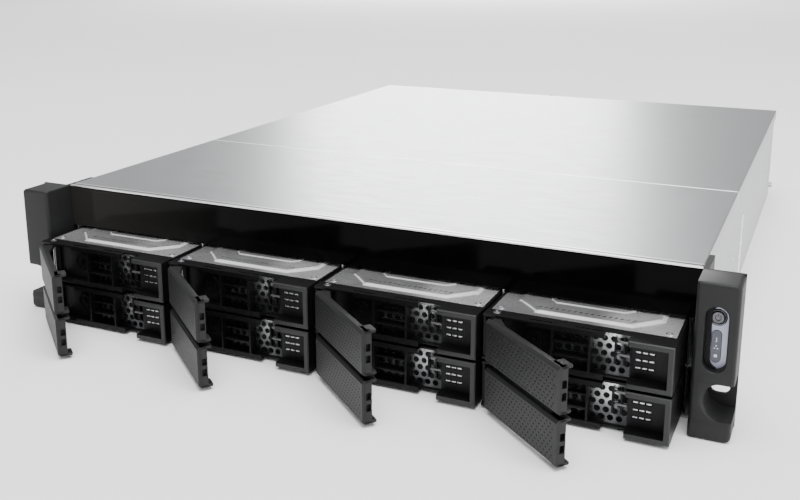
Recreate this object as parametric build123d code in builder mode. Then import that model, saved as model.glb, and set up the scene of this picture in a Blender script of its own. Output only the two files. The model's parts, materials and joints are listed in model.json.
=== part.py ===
from build123d import *
import os

os.makedirs("parts", exist_ok=True)

# Rack-mount storage server, two rack units high, with eight drive trays in front.
# X runs to the right as seen from the front, Y to the back and Z up.
# Y = 0 is the front face of the bezel bar and the rack plane, Z = 0 the underside.

# Overall size
CHASSIS_HEIGHT = 88.0
CHASSIS_DEPTH = 540.0
RACK_WIDTH = 482.6
EAR_WIDTH = 22.3

# Sheet metal and running gaps
PAN_STEEL = 1.2
COVER_STEEL = 1.0
CAGE_STEEL = 1.0
PLATE_GAP = 0.3

# Lower pan
FLOOR_FRONT = -2.0
PAN_FRONT = 3.0
SIDE_FLANGE = 12.0
BEAD_Y = 240.0
BEAD_WIDTH = 4.0
BEAD_LOW = 7.0
BEAD_HIGH = 56.0
BEAD_PROUD = 0.9
BEAD_SLOPE = 20.0
RAIL_HOLE_RADIUS = 2.0
RAIL_HOLE_HEIGHT = 44.0
RAIL_HOLE_FRONT = 95.0
RAIL_HOLE_SPACING = 350.0
RAIL_STUD_RADIUS = 2.6
RAIL_STUD_PROUD = 3.4
RAIL_STUD_INSET = 6.0
RAIL_STUD_HEIGHT = 11.0
STUD_SIDES = 8

# Covers
COVER_LIP = 8.5
COVER_SOFTENING = 0.5
COVER_SPLIT = 176.0
COVER_SEAM = 0.7
REAR_LIP = 12.0
REAR_LIP_CLEARANCE = 4.0
THUMB_SCREW_X = -21.0
THUMB_SCREW_DROP = 4.9
THUMB_HEAD_RADIUS = 4.4
THUMB_HEAD_LENGTH = 9.0
THUMB_HEAD_SIDES = 12
THUMB_HEAD_BEVEL = 0.6
THUMB_SHANK_RADIUS = 1.5
THUMB_SHANK_LENGTH = 6.0
SCREW_GAP = 0.1

# Trays
COLUMNS = 4
ROWS = 2
CAGE_MARGIN = 5.0
TRAY_HEIGHT = 26.8
TRAY_LENGTH = 168.0
TRAY_GAP = 2.0
TRAY_WALL = 1.4
TRAY_WALL_HEIGHT = 26.4
TRAY_FLOOR = 1.0
ROW_PITCH = 28.4
ROW_BASE = 1.8
TRAY_CLOSED_Y = -4.5
TRAY_DRAWN = 38.0
LEDGE_WIDTH = 2.0
LEDGE_STEEL = 1.0
CAGE_FRONT = 1.0

# Front frame of a tray, measured from its right edge and its front face
FRAME_SETBACK = 5.0
FRAME_BACK = 13.6
FRAME_PLATE = 1.2
LIP_HEIGHT = 3.0
LIP_INSET = 26.0
NOTCH_LEFT = 37.0
NOTCH_SETBACK = 9.7
BLOCK_WIDTH = 23.8
BLOCK_DEPTH = 10.0
BLOCK_RIM = 3.0
BLOCK_BEVEL = 0.6
RECESS_DEPTH = 8.5
RECESS_SLOTS = 3
RECESS_SLOT_WIDTH = 10.5
RECESS_SLOT_HEIGHT = 1.5
RECESS_SLOT_PITCH = 4.4
RECESS_SLOT_LOW = 9.0
RECESS_SLOT_INSET = 2.5
RIB_A = 44.3
RIB_B = 65.0
RIB = 1.2
PANEL_WALL = 1.2
LOUVRE_HEIGHTS = (8.8, 16.8)
LOUVRE_FRONT = 7.0
FLANGE_SLOT_LENGTH = 15.0
FLANGE_SLOT_WIDTH = 1.4
FLANGE_SLOT_SETBACK = 8.2
FLANGE_SLOT_X = (72.0, 46.0)
FLOOR_WINDOW_LENGTH = 120.0
FLOOR_WINDOW_WIDTH = 66.0
FLOOR_WINDOW_CENTRE = 90.0

# Latch bracket between the block and the perforated plate
BRACKET_FRONT = 8.6
BRACKET_BACK = 11.0
BRACKET_BAR = 1.0
BRACKET_PRONGS = (14.2, 21.4)
BRACKET_NEAR = 26.6
BRACKET_FAR = 31.4
BRACKET_LOW = 9.0
BRACKET_HIGH = 23.4

# Perforated plate
SHIELD_FRONT = 11.0
SHIELD_STEEL = 0.8
VENT_SIDES = 6
VENT_RADIUS = 2.1
VENT_PITCH = 4.9
VENT_ROWS = 2
VENTS_IN_ROW = 3
VENT_ROW_PITCH = 4.8
VENT_CENTRE_X = 35.2
WINDOW_SLOT_WIDTH = 15.0
WINDOW_SLOT_HEIGHT = 1.8
WINDOW_SLOT_RISE = 8.0

# Lever and its hinge pin
PIN_INSET = 6.6
PIN_Y = 10.0
PIN_RADIUS = 1.25
PIN_SIDES = 6
EAR_SIDES = 8
PIN_GAP = 0.05
PIN_HEAD_RADIUS = 2.3
PIN_HEAD = 0.5
LEVER_INSET_LEFT = 11.5
LEVER_SHORT = 0.5
LEVER_PLATE = 2.0
LEVER_DEPTH = 4.6
LEVER_FLANGE = 1.5
LEVER_INSET = 0.6
LEVER_BEVEL = 1.6
LEVER_END_DEPTH = 6.0
LEVER_END_WALL = 2.0
HOOK_DEPTH = 9.0
HOOK_LENGTH = 8.5
LEVER_WINDOW_WIDTH = 2.8
LEVER_WINDOW_HEIGHT = 4.4
LEVER_WINDOW_CENTRE = 4.0
LEVER_WINDOW_HEIGHTS = (9.9, 16.5)
EAR_RADIUS = 3.4
EAR_THICKNESS = 2.4
EAR_GAP = 0.3
EAR_REACH = 14.0
EAR_FLANK = 3.4
LEVER_OPEN = 40.0

# Hard drive, 3.5 inch form
DRIVE_GAP = 0.3
DRIVE_LENGTH = 147.0
DRIVE_HEIGHT = 26.1
DRIVE_FRONT = 15.2
LID_RISE = 0.8
LID_RIM_SIDE = 9.0
LID_RIM_END = 6.0
LID_CORNER = 17.0
LID_STEP = 7.0
LID_RECESS = 1.2
LID_SLOPE = 45.0

# Bezel bar
BEZEL_CLEARANCE = 1.5
BEZEL_PLATE = 3.0
BEZEL_RETURN = 10.0
BEZEL_RETURN_THICKNESS = 1.6

# Rack ears
EAR_FACE_Y = -23.4
EAR_BOTTOM = 0.3
EAR_BEVEL = 2.2
EAR_END_BEVEL = 1.1
BRACKET_STEEL = 2.0
BRACKET_LEG = 25.0
BRACKET_LEG_STEEL = 3.0
RACK_SLOT_INSET = 8.75
RACK_SLOT_LENGTH = 10.0
RACK_SLOT_WIDTH = 6.8
RACK_SLOT_HEIGHT = 22.2
NOTCH_DEPTH = 15.6
NOTCH_RADIUS = 10.5
EAR_BAND = 0.5
EAR_BAND_LOW = 10.5
EAR_BAND_HIGH = 33.0

# Status panel in the right ear
PANEL_Z = 57.1
PANEL_LENGTH = 36.0
PANEL_WIDTH = 11.7
PANEL_SINK = 6.0
PANEL_PLATE = 2.0
PANEL_GAP = 0.1
BUTTON_Z = 67.8
BUTTON_RADIUS = 3.2
BUTTON_GAP = 0.3
BUTTON_PROUD = 0.9
BUTTON_LENGTH = 4.4
BUTTON_TRAVEL = 1.2
WINDOW_Z = 51.6
WINDOW_LENGTH = 18.4
WINDOW_WIDTH = 5.4
WINDOW_SINK = 0.8
WINDOW_CORNER = 1.8

# Backplane
BACKPLANE_Y = 164.6
BACKPLANE_BOARD = 1.6
CONNECTOR_WIDTH = 42.0
CONNECTOR_HEIGHT = 5.0
CONNECTOR_DEPTH = 6.0
CONNECTOR_RISE = 3.0
AIR_SLOT_WIDTH = 80.0
AIR_SLOT_HEIGHT = 11.0
AIR_SLOT_RISE = 11.0

# Fans
FAN_X = (-62.0, 62.0)
FAN_Y = 188.0
FAN_SIZE = 70.0
FAN_DEPTH = 25.0
FAN_DUCT_RADIUS = 33.5
FAN_DUCT_SIDES = 18
FAN_CORNER = 3.5
FAN_HUB = 14.0
FAN_HUB_SIDES = 14
FAN_BLADES = 5
FAN_BLADE_TIP = 32.6
FAN_BLADE_CHORD = 17.0
FAN_BLADE_ANGLE = 38.0
FAN_BLADE_THICKNESS = 1.4
FAN_MOTOR = 4.0
FAN_STRUTS = 3
FAN_STRUT = 3.5
FAN_SHAFT = 1.5
FAN_SHAFT_GAP = 0.05
FAN_AXIAL_GAP = 1.0

# Mainboard and heat sink
BOARD_MARGIN_LEFT = 9.0
BOARD_MARGIN_RIGHT = 13.0
BOARD_FRONT = 246.0
BOARD_MARGIN_BACK = 8.0
BOARD_RISE = 6.0
BOARD_THICKNESS = 1.6
STANDOFF_RADIUS = 3.0
MEMORY_X = (128.0, 138.0)
MEMORY_LENGTH = 133.0
MEMORY_HEIGHT = 33.0
MEMORY_THICKNESS = 4.0
MEMORY_FRONT = 300.0
SINK_X = 40.0
SINK_Y = 380.0
SINK_SIZE = 78.0
SINK_BASE = 6.0
SINK_HEIGHT = 44.0
SINK_FINS = 10
SINK_FIN = 1.5

# Sockets in the rear wall
PORT_DEPTH = 18.0
PORT_SHELL = 0.8
LAN_PORTS = 4
LAN_INSET = 21.0
LAN_PITCH = 17.5
LAN_WIDTH = 15.0
LAN_HEIGHT = 13.4
USB_PORTS = 4
USB_GROUP_GAP = 6.0
USB_PITCH = 17.0
USB_WIDTH = 14.4
USB_HEIGHT = 7.2
WINDOW_MARGIN = 0.4

# Rear wall
REAR_WALL_GAP = 0.3
SLOT_COUNT = 4
SLOT_GROUP_GAP = 22.0
SLOT_PITCH = 20.32
SLOT_WIDTH = 12.0
SLOT_LOW = 14.0
SLOT_HIGH = 74.0
VENT_COLUMNS = 8
VENT_INSET = 23.0
VENT_STEP = 18.0
VENT_WIDTH = 11.0
VENT_LOW = 40.0
VENT_HEIGHT = 32.0

# Power supply modules
SUPPLY_SIDE_GAP = 3.5
SUPPLY_WIDTH = 86.0
SUPPLY_HEADROOM = 3.2
SUPPLY_LENGTH = 200.0
SUPPLY_SHELF = 1.0
SUPPLY_PROUD = 1.0
HANDLE_WIDTH = 30.0
HANDLE_REACH = 20.0
HANDLE_BAR = 4.0
HANDLE_CORNER = 4.0
HANDLE_X = 22.0
INLET_X = 60.0
INLET_WIDTH = 27.0
INLET_HEIGHT = 20.0
INLET_DEPTH = 14.0
INLET_CORNER = 5.0
GRILLE_SLOTS = 5
GRILLE_PITCH = 5.0
GRILLE_WIDTH = 24.0
GRILLE_BAR = 2.4
GRILLE_DEPTH = 3.0

# Places that follow from the sizes above
HALF_RACK = RACK_WIDTH / 2
HALF_WIDTH = HALF_RACK - EAR_WIDTH
PAN_OUTER = HALF_WIDTH - COVER_STEEL - PLATE_GAP
PAN_INNER = PAN_OUTER - PAN_STEEL
PAN_TOP = CHASSIS_HEIGHT - COVER_STEEL
REAR_WALL_BACK = CHASSIS_DEPTH - COVER_STEEL - REAR_WALL_GAP
REAR_WALL_FRONT = REAR_WALL_BACK - PAN_STEEL
COLUMN_PITCH = 2 * (HALF_WIDTH - CAGE_MARGIN) / COLUMNS
TRAY_WIDTH = COLUMN_PITCH - TRAY_GAP
TRAY_REST_Y = TRAY_CLOSED_Y - TRAY_DRAWN
LIP_LEFT = TRAY_WIDTH - LIP_INSET
PIN_X = TRAY_WIDTH - PIN_INSET
LEVER_LEFT = TRAY_WIDTH - LEVER_INSET_LEFT
LEVER_TOP = TRAY_HEIGHT - LEVER_INSET
DRIVE_WIDTH = TRAY_WIDTH - 2 * (TRAY_WALL + DRIVE_GAP)
BEZEL_BOTTOM = ROW_BASE + (ROWS - 1) * ROW_PITCH + TRAY_HEIGHT + BEZEL_CLEARANCE
BACKPLANE_TOP = BEZEL_BOTTOM - BEZEL_CLEARANCE
EAR_TOP = CHASSIS_HEIGHT - EAR_BOTTOM
EAR_MIDDLE = (HALF_WIDTH + HALF_RACK) / 2
RACK_SLOT_X = HALF_RACK - RACK_SLOT_INSET
PANEL_X = EAR_MIDDLE
SUPPLY_ROOM = PAN_TOP - 2 * PAN_STEEL - SUPPLY_SHELF - 4 * PLATE_GAP - SUPPLY_HEADROOM
SUPPLY_HEIGHT = SUPPLY_ROOM / 2
SUPPLY_LEFT = SUPPLY_SIDE_GAP - PAN_INNER
SUPPLY_RIGHT = SUPPLY_LEFT + SUPPLY_WIDTH
SUPPLY_BACK = CHASSIS_DEPTH + SUPPLY_PROUD
SUPPLY_FRONT = SUPPLY_BACK - SUPPLY_LENGTH
SUPPLY_BASES = (
    PAN_STEEL + PLATE_GAP,
    PAN_STEEL + PLATE_GAP + SUPPLY_HEIGHT + PLATE_GAP + SUPPLY_SHELF + PLATE_GAP,
)
BOARD_LEFT = SUPPLY_RIGHT + BOARD_MARGIN_LEFT
BOARD_RIGHT = HALF_WIDTH - BOARD_MARGIN_RIGHT
BOARD_BACK = CHASSIS_DEPTH - BOARD_MARGIN_BACK
LAN_LEFT = SUPPLY_RIGHT + LAN_INSET
USB_LEFT = LAN_LEFT + LAN_PORTS * LAN_PITCH + USB_GROUP_GAP
SLOT_LEFT = USB_LEFT + USB_PORTS * USB_PITCH + SLOT_GROUP_GAP
VENT_LEFT = SUPPLY_RIGHT + VENT_INSET
BOARD_BASE = PAN_STEEL + BOARD_RISE
BOARD_TOP = BOARD_BASE + BOARD_THICKNESS
FAN_CENTRE_Z = PAN_STEEL + FAN_SIZE / 2


def across(y):
    """Plane facing the front at distance y behind the bezel; a negative extrusion runs backwards."""
    return Plane.XZ.offset(-y)


def bar(x0, x1, y0, y1, z0, z1):
    """Rectangular bar between the given limits, as a loose solid."""
    with BuildPart(mode=Mode.PRIVATE) as piece:
        with BuildSketch(Plane.XY.offset(z0)):
            with Locations(((x0 + x1) / 2, (y0 + y1) / 2)):
                Rectangle(x1 - x0, y1 - y0)
        extrude(amount=z1 - z0)
    return piece.part


def save(part, name):
    """Label a finished piece and write its file."""
    part.label = name
    export_step(part, f"parts/{name}.step")


# Lower pan: floor, side walls with top flanges, and the shelf and wall of the supply bay
with BuildPart() as chassis_pan:
    with BuildSketch(across(PAN_FRONT)):
        with BuildLine():
            Polyline(
                (-PAN_OUTER, 0),
                (PAN_OUTER, 0),
                (PAN_OUTER, PAN_TOP),
                (PAN_OUTER - SIDE_FLANGE, PAN_TOP),
                (PAN_OUTER - SIDE_FLANGE, PAN_TOP - PAN_STEEL),
                (PAN_INNER, PAN_TOP - PAN_STEEL),
                (PAN_INNER, PAN_STEEL),
                (-PAN_INNER, PAN_STEEL),
                (-PAN_INNER, PAN_TOP - PAN_STEEL),
                (SIDE_FLANGE - PAN_OUTER, PAN_TOP - PAN_STEEL),
                (SIDE_FLANGE - PAN_OUTER, PAN_TOP),
                (-PAN_OUTER, PAN_TOP),
                close=True,
            )
        make_face()
    extrude(amount=PAN_FRONT - REAR_WALL_BACK)
    add(bar(-PAN_INNER, PAN_INNER, FLOOR_FRONT, PAN_FRONT, 0, PAN_STEEL))
    # Shelf between the supplies and the wall beside them
    shelf = SUPPLY_BASES[1] - PLATE_GAP
    wall = SUPPLY_RIGHT + PLATE_GAP
    add(bar(-PAN_INNER, wall, SUPPLY_FRONT, REAR_WALL_FRONT, shelf - SUPPLY_SHELF, shelf))
    add(bar(wall, wall + SUPPLY_SHELF, SUPPLY_FRONT, REAR_WALL_FRONT, PAN_STEEL, PAN_TOP - PAN_STEEL))
    # Stiffening bead, rail holes and rail stud on each side
    for side in (-1, 1):
        with BuildSketch(Plane.YZ.offset(side * PAN_OUTER)):
            with Locations((BEAD_Y, (BEAD_LOW + BEAD_HIGH) / 2)):
                Rectangle(BEAD_WIDTH, BEAD_HIGH - BEAD_LOW)
        extrude(amount=side * BEAD_PROUD, taper=side * BEAD_SLOPE)
        with BuildSketch(Plane.YZ.offset(side * PAN_INNER)):
            with Locations(
                (RAIL_HOLE_FRONT, RAIL_HOLE_HEIGHT),
                (RAIL_HOLE_FRONT + RAIL_HOLE_SPACING, RAIL_HOLE_HEIGHT),
            ):
                Circle(RAIL_HOLE_RADIUS)
        extrude(amount=side * PAN_STEEL, mode=Mode.SUBTRACT)
        with BuildSketch(Plane.YZ.offset(side * PAN_OUTER)):
            with Locations((CHASSIS_DEPTH - RAIL_STUD_INSET, RAIL_STUD_HEIGHT)):
                RegularPolygon(RAIL_STUD_RADIUS, STUD_SIDES)
        extrude(amount=side * RAIL_STUD_PROUD)
save(chassis_pan.part, "chassis_pan")

# Rear panel between the side walls, with openings for the supplies, sockets, cards and air
flange_edge = PAN_OUTER - SIDE_FLANGE
with BuildPart() as rear_panel:
    add(bar(-PAN_INNER, PAN_INNER, REAR_WALL_FRONT, REAR_WALL_BACK, PAN_STEEL, PAN_TOP - PAN_STEEL))
    add(
        bar(
            -flange_edge,
            flange_edge,
            REAR_WALL_FRONT,
            REAR_WALL_BACK,
            PAN_TOP - PAN_STEEL,
            PAN_TOP,
        )
    )
    with BuildSketch(across(REAR_WALL_FRONT)):
        for base in SUPPLY_BASES:
            with Locations((SUPPLY_LEFT + SUPPLY_WIDTH / 2, base + SUPPLY_HEIGHT / 2)):
                Rectangle(SUPPLY_WIDTH + PLATE_GAP, SUPPLY_HEIGHT + PLATE_GAP)
        for index in range(LAN_PORTS):
            with Locations((LAN_LEFT + index * LAN_PITCH, BOARD_TOP + LAN_HEIGHT / 2)):
                Rectangle(LAN_WIDTH + WINDOW_MARGIN, LAN_HEIGHT + WINDOW_MARGIN)
        for index in range(USB_PORTS):
            with Locations((USB_LEFT + index * USB_PITCH, BOARD_TOP + USB_HEIGHT / 2)):
                Rectangle(USB_WIDTH + WINDOW_MARGIN, USB_HEIGHT + WINDOW_MARGIN)
        for index in range(SLOT_COUNT):
            with Locations((SLOT_LEFT + index * SLOT_PITCH, (SLOT_LOW + SLOT_HIGH) / 2)):
                Rectangle(SLOT_WIDTH, SLOT_HIGH - SLOT_LOW)
        for index in range(VENT_COLUMNS):
            with Locations((VENT_LEFT + index * VENT_STEP, VENT_LOW + VENT_HEIGHT / 2)):
                Rectangle(VENT_WIDTH, VENT_HEIGHT)
    extrude(amount=-PAN_STEEL, mode=Mode.SUBTRACT)
    # Hole for the cover's thumb screw
    with BuildSketch(across(REAR_WALL_FRONT)):
        with Locations((THUMB_SCREW_X, CHASSIS_HEIGHT - THUMB_SCREW_DROP)):
            RegularPolygon(THUMB_SHANK_RADIUS + SCREW_GAP, STUD_SIDES)
    extrude(amount=-PAN_STEEL, mode=Mode.SUBTRACT)
save(rear_panel.part, "rear_panel")


def cover_profile():
    """Section of a cover: a flat top with a lip folded down on each side."""
    with BuildSketch(Plane.XZ, mode=Mode.PRIVATE) as section:
        with BuildLine():
            Polyline(
                (-HALF_WIDTH, CHASSIS_HEIGHT - COVER_LIP),
                (-HALF_WIDTH, CHASSIS_HEIGHT),
                (HALF_WIDTH, CHASSIS_HEIGHT),
                (HALF_WIDTH, CHASSIS_HEIGHT - COVER_LIP),
                (HALF_WIDTH - COVER_STEEL, CHASSIS_HEIGHT - COVER_LIP),
                (HALF_WIDTH - COVER_STEEL, PAN_TOP),
                (COVER_STEEL - HALF_WIDTH, PAN_TOP),
                (COVER_STEEL - HALF_WIDTH, CHASSIS_HEIGHT - COVER_LIP),
                close=True,
            )
        make_face()
    return section.sketch


def cover(front, back):
    """Sheet cover from front to back with softened top corners."""
    with BuildPart(mode=Mode.PRIVATE) as sheet:
        extrude(Pos(0, front, 0) * cover_profile(), amount=front - back)
        corners = sheet.edges().filter_by(Axis.Y).group_by(Axis.Z)[-1]
        chamfer(corners, COVER_SOFTENING)
    return sheet.part


# Fixed front cover
with BuildPart() as front_cover:
    add(cover(0, COVER_SPLIT - COVER_SEAM))
    # The side lips start behind the bezel's face plate
    add(
        bar(
            -HALF_WIDTH,
            HALF_WIDTH,
            0,
            BEZEL_PLATE + PLATE_GAP,
            CHASSIS_HEIGHT - COVER_LIP,
            PAN_TOP,
        ),
        mode=Mode.SUBTRACT,
    )
save(front_cover.part, "front_cover")

# Sliding rear cover
with BuildPart() as rear_cover:
    add(cover(COVER_SPLIT, CHASSIS_DEPTH))

# Rear lip, a welded strip under the cover's rear edge that ends beside the supplies
with BuildPart() as rear_lip:
    add(
        bar(
            SUPPLY_RIGHT + REAR_LIP_CLEARANCE,
            HALF_WIDTH - COVER_STEEL,
            CHASSIS_DEPTH - COVER_STEEL,
            CHASSIS_DEPTH,
            CHASSIS_HEIGHT - REAR_LIP,
            PAN_TOP,
        )
    )
    with BuildSketch(across(CHASSIS_DEPTH - COVER_STEEL)):
        with Locations((THUMB_SCREW_X, CHASSIS_HEIGHT - THUMB_SCREW_DROP)):
            RegularPolygon(THUMB_SHANK_RADIUS + SCREW_GAP, STUD_SIDES)
    extrude(amount=-COVER_STEEL, mode=Mode.SUBTRACT)

# Captive thumb screw of the rear lip, a piece of its own in the cover's file
with BuildPart() as thumb_screw:
    with BuildSketch(across(CHASSIS_DEPTH)):
        with Locations((THUMB_SCREW_X, CHASSIS_HEIGHT - THUMB_SCREW_DROP)):
            RegularPolygon(THUMB_HEAD_RADIUS, THUMB_HEAD_SIDES)
    extrude(amount=-THUMB_HEAD_LENGTH)
    chamfer(thumb_screw.edges().group_by(Axis.Y)[-1], THUMB_HEAD_BEVEL)
    with BuildSketch(across(CHASSIS_DEPTH - THUMB_SHANK_LENGTH)):
        with Locations((THUMB_SCREW_X, CHASSIS_HEIGHT - THUMB_SCREW_DROP)):
            RegularPolygon(THUMB_SHANK_RADIUS, STUD_SIDES)
    extrude(amount=-THUMB_SHANK_LENGTH)
cover_pieces = rear_cover.part.solids() + rear_lip.part.solids() + thumb_screw.part.solids()
save(Compound(cover_pieces), "rear_cover")

# Drive cage: upright dividers with runner ledges under a top plate
divider_centres = [(index - COLUMNS / 2) * COLUMN_PITCH for index in range(COLUMNS + 1)]
ledge_tops = [ROW_BASE + row * ROW_PITCH - PLATE_GAP for row in range(1, ROWS)]
with BuildPart() as drive_cage:
    with BuildSketch(across(CAGE_FRONT)):
        for centre in divider_centres:
            with Locations((centre, (PAN_STEEL + BEZEL_BOTTOM) / 2)):
                Rectangle(CAGE_STEEL, BEZEL_BOTTOM - PAN_STEEL)
            for top in ledge_tops:
                with Locations((centre, top - LEDGE_STEEL / 2)):
                    Rectangle(CAGE_STEEL + 2 * LEDGE_WIDTH, LEDGE_STEEL)
    extrude(amount=CAGE_FRONT - BACKPLANE_Y)
    add(
        bar(
            -PAN_INNER,
            PAN_INNER,
            BEZEL_RETURN,
            BACKPLANE_Y,
            BEZEL_BOTTOM,
            BEZEL_BOTTOM + CAGE_STEEL,
        )
    )
save(drive_cage.part, "drive_cage")

# Glossy bezel bar above the trays: face plate with a return along its lower edge
with BuildPart() as front_bezel:
    with BuildSketch(Plane.YZ.offset(-HALF_WIDTH)):
        with BuildLine():
            Polyline(
                (0, BEZEL_BOTTOM),
                (BEZEL_RETURN, BEZEL_BOTTOM),
                (BEZEL_RETURN, BEZEL_BOTTOM + BEZEL_RETURN_THICKNESS),
                (BEZEL_PLATE, BEZEL_BOTTOM + BEZEL_RETURN_THICKNESS),
                (BEZEL_PLATE, PAN_TOP - PLATE_GAP),
                (0, PAN_TOP - PLATE_GAP),
                close=True,
            )
        make_face()
    extrude(amount=2 * HALF_WIDTH)
    for side in (-1, 1):
        inner, outer = sorted((side * (PAN_INNER - PLATE_GAP), side * HALF_WIDTH))
        add(bar(inner, outer, BEZEL_PLATE, BEZEL_RETURN, 0, CHASSIS_HEIGHT), mode=Mode.SUBTRACT)
    chamfer(front_bezel.edges().filter_by(Axis.X).group_by(Axis.Y)[0], PLATE_GAP)
save(front_bezel.part, "front_bezel")


def ear_notch(side):
    """Hand hole through an ear, open to the outer side and round at its inner end."""
    centre = side * (HALF_RACK - NOTCH_DEPTH + NOTCH_RADIUS)
    with BuildSketch(across(EAR_FACE_Y), mode=Mode.PRIVATE) as outline:
        with Locations((centre, RACK_SLOT_HEIGHT)):
            Circle(NOTCH_RADIUS)
        with Locations((centre + side * NOTCH_RADIUS, RACK_SLOT_HEIGHT)):
            Rectangle(2 * NOTCH_RADIUS, 2 * NOTCH_RADIUS)
    return outline.sketch


def ear_hood(side):
    """Moulded hood in front of a rack bracket, with bevelled edges and the hand hole."""
    middle = side * EAR_MIDDLE
    with BuildPart(mode=Mode.PRIVATE) as hood:
        with BuildSketch(Plane.XY.offset(EAR_BOTTOM)):
            with Locations((middle, (EAR_FACE_Y - BRACKET_STEEL) / 2)):
                Rectangle(EAR_WIDTH, -BRACKET_STEEL - EAR_FACE_Y)
        extrude(amount=EAR_TOP - EAR_BOTTOM)
        front_edges = hood.edges().filter_by(Axis.Z).group_by(Axis.Y)[0]
        chamfer(front_edges, EAR_BEVEL)
        chamfer(hood.faces().group_by(Axis.Y)[0].edges().filter_by(Axis.X), EAR_END_BEVEL)
        with BuildSketch(across(EAR_FACE_Y)):
            with Locations((middle, (EAR_BAND_LOW + EAR_BAND_HIGH) / 2)):
                Rectangle(HALF_RACK, EAR_BAND_HIGH - EAR_BAND_LOW)
        extrude(amount=-EAR_BAND, mode=Mode.SUBTRACT)
        extrude(ear_notch(side), amount=EAR_FACE_Y, mode=Mode.SUBTRACT)
    return hood.part


# Left ear hood
with BuildPart() as left_ear:
    add(ear_hood(-1))
save(left_ear.part, "left_ear")

# Right ear hood with the panel recess and the well behind the power button
plate_back = EAR_FACE_Y + PANEL_SINK + PANEL_PLATE
with BuildPart() as right_ear:
    add(ear_hood(1))
    with BuildSketch(across(EAR_FACE_Y)):
        with Locations((PANEL_X, PANEL_Z)):
            SlotOverall(PANEL_LENGTH, PANEL_WIDTH, rotation=90)
    extrude(amount=-PANEL_SINK - PANEL_PLATE, mode=Mode.SUBTRACT)
    with BuildSketch(across(plate_back)):
        with Locations((PANEL_X, BUTTON_Z)):
            RegularPolygon(BUTTON_RADIUS + BUTTON_GAP, STUD_SIDES, major_radius=False)
    extrude(amount=-BUTTON_LENGTH, mode=Mode.SUBTRACT)
save(right_ear.part, "right_ear")

# Status panel plate at the bottom of the recess
with BuildPart() as status_panel:
    with BuildSketch(across(EAR_FACE_Y + PANEL_SINK)):
        with Locations((PANEL_X, PANEL_Z)):
            SlotOverall(PANEL_LENGTH - PANEL_GAP, PANEL_WIDTH - PANEL_GAP, rotation=90)
        with Locations((PANEL_X, BUTTON_Z)):
            RegularPolygon(
                BUTTON_RADIUS + BUTTON_GAP,
                STUD_SIDES,
                major_radius=False,
                mode=Mode.SUBTRACT,
            )
    extrude(amount=-PANEL_PLATE)
    with BuildSketch(across(EAR_FACE_Y + PANEL_SINK)):
        with Locations((PANEL_X, WINDOW_Z)):
            Rectangle(WINDOW_WIDTH, WINDOW_LENGTH)
        chamfer(vertices(), WINDOW_CORNER)
    extrude(amount=-WINDOW_SINK, mode=Mode.SUBTRACT)
save(status_panel.part, "status_panel")

# Power button: round cap on a short plunger
with BuildPart() as power_button:
    with BuildSketch(across(EAR_FACE_Y + PANEL_SINK - BUTTON_PROUD)):
        with Locations((PANEL_X, BUTTON_Z)):
            Circle(BUTTON_RADIUS)
    extrude(amount=-BUTTON_LENGTH)
save(power_button.part, "power_button")

# Rack brackets: flange behind the hood with the rack slot, and a leg along the side wall
with BuildPart() as rack_brackets:
    for side in (-1, 1):
        with BuildSketch(Plane.XY.offset(EAR_BOTTOM)):
            with BuildLine():
                Polyline(
                    (side * HALF_WIDTH, -BRACKET_STEEL),
                    (side * HALF_RACK, -BRACKET_STEEL),
                    (side * HALF_RACK, 0),
                    (side * (HALF_WIDTH + BRACKET_LEG_STEEL), 0),
                    (side * (HALF_WIDTH + BRACKET_LEG_STEEL), BRACKET_LEG),
                    (side * HALF_WIDTH, BRACKET_LEG),
                    close=True,
                )
            make_face()
        extrude(amount=EAR_TOP - EAR_BOTTOM)
        with BuildSketch(across(-BRACKET_STEEL)):
            with Locations((side * RACK_SLOT_X, RACK_SLOT_HEIGHT)):
                SlotOverall(RACK_SLOT_LENGTH, RACK_SLOT_WIDTH)
        extrude(amount=-BRACKET_STEEL, mode=Mode.SUBTRACT)
save(rack_brackets.part, "rack_brackets")

# Backplane board with a socket behind each drive and air slots between them
with BuildPart() as backplane:
    with BuildSketch(across(BACKPLANE_Y)):
        with Locations((0, (PAN_STEEL + PLATE_GAP + BACKPLANE_TOP) / 2)):
            Rectangle(2 * (PAN_INNER - PLATE_GAP), BACKPLANE_TOP - PAN_STEEL - PLATE_GAP)
        for column in range(COLUMNS):
            for row in range(ROWS):
                slot_x = divider_centres[column] + COLUMN_PITCH / 2
                slot_z = ROW_BASE + row * ROW_PITCH + AIR_SLOT_RISE + AIR_SLOT_HEIGHT / 2
                with Locations((slot_x, slot_z)):
                    Rectangle(AIR_SLOT_WIDTH, AIR_SLOT_HEIGHT, mode=Mode.SUBTRACT)
    extrude(amount=-BACKPLANE_BOARD)
    with BuildSketch(across(BACKPLANE_Y)):
        for column in range(COLUMNS):
            for row in range(ROWS):
                socket_z = ROW_BASE + row * ROW_PITCH + CONNECTOR_RISE + CONNECTOR_HEIGHT / 2
                with Locations((divider_centres[column] + COLUMN_PITCH / 2, socket_z)):
                    Rectangle(CONNECTOR_WIDTH, CONNECTOR_HEIGHT)
    extrude(amount=CONNECTOR_DEPTH)
save(backplane.part, "backplane")

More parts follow.
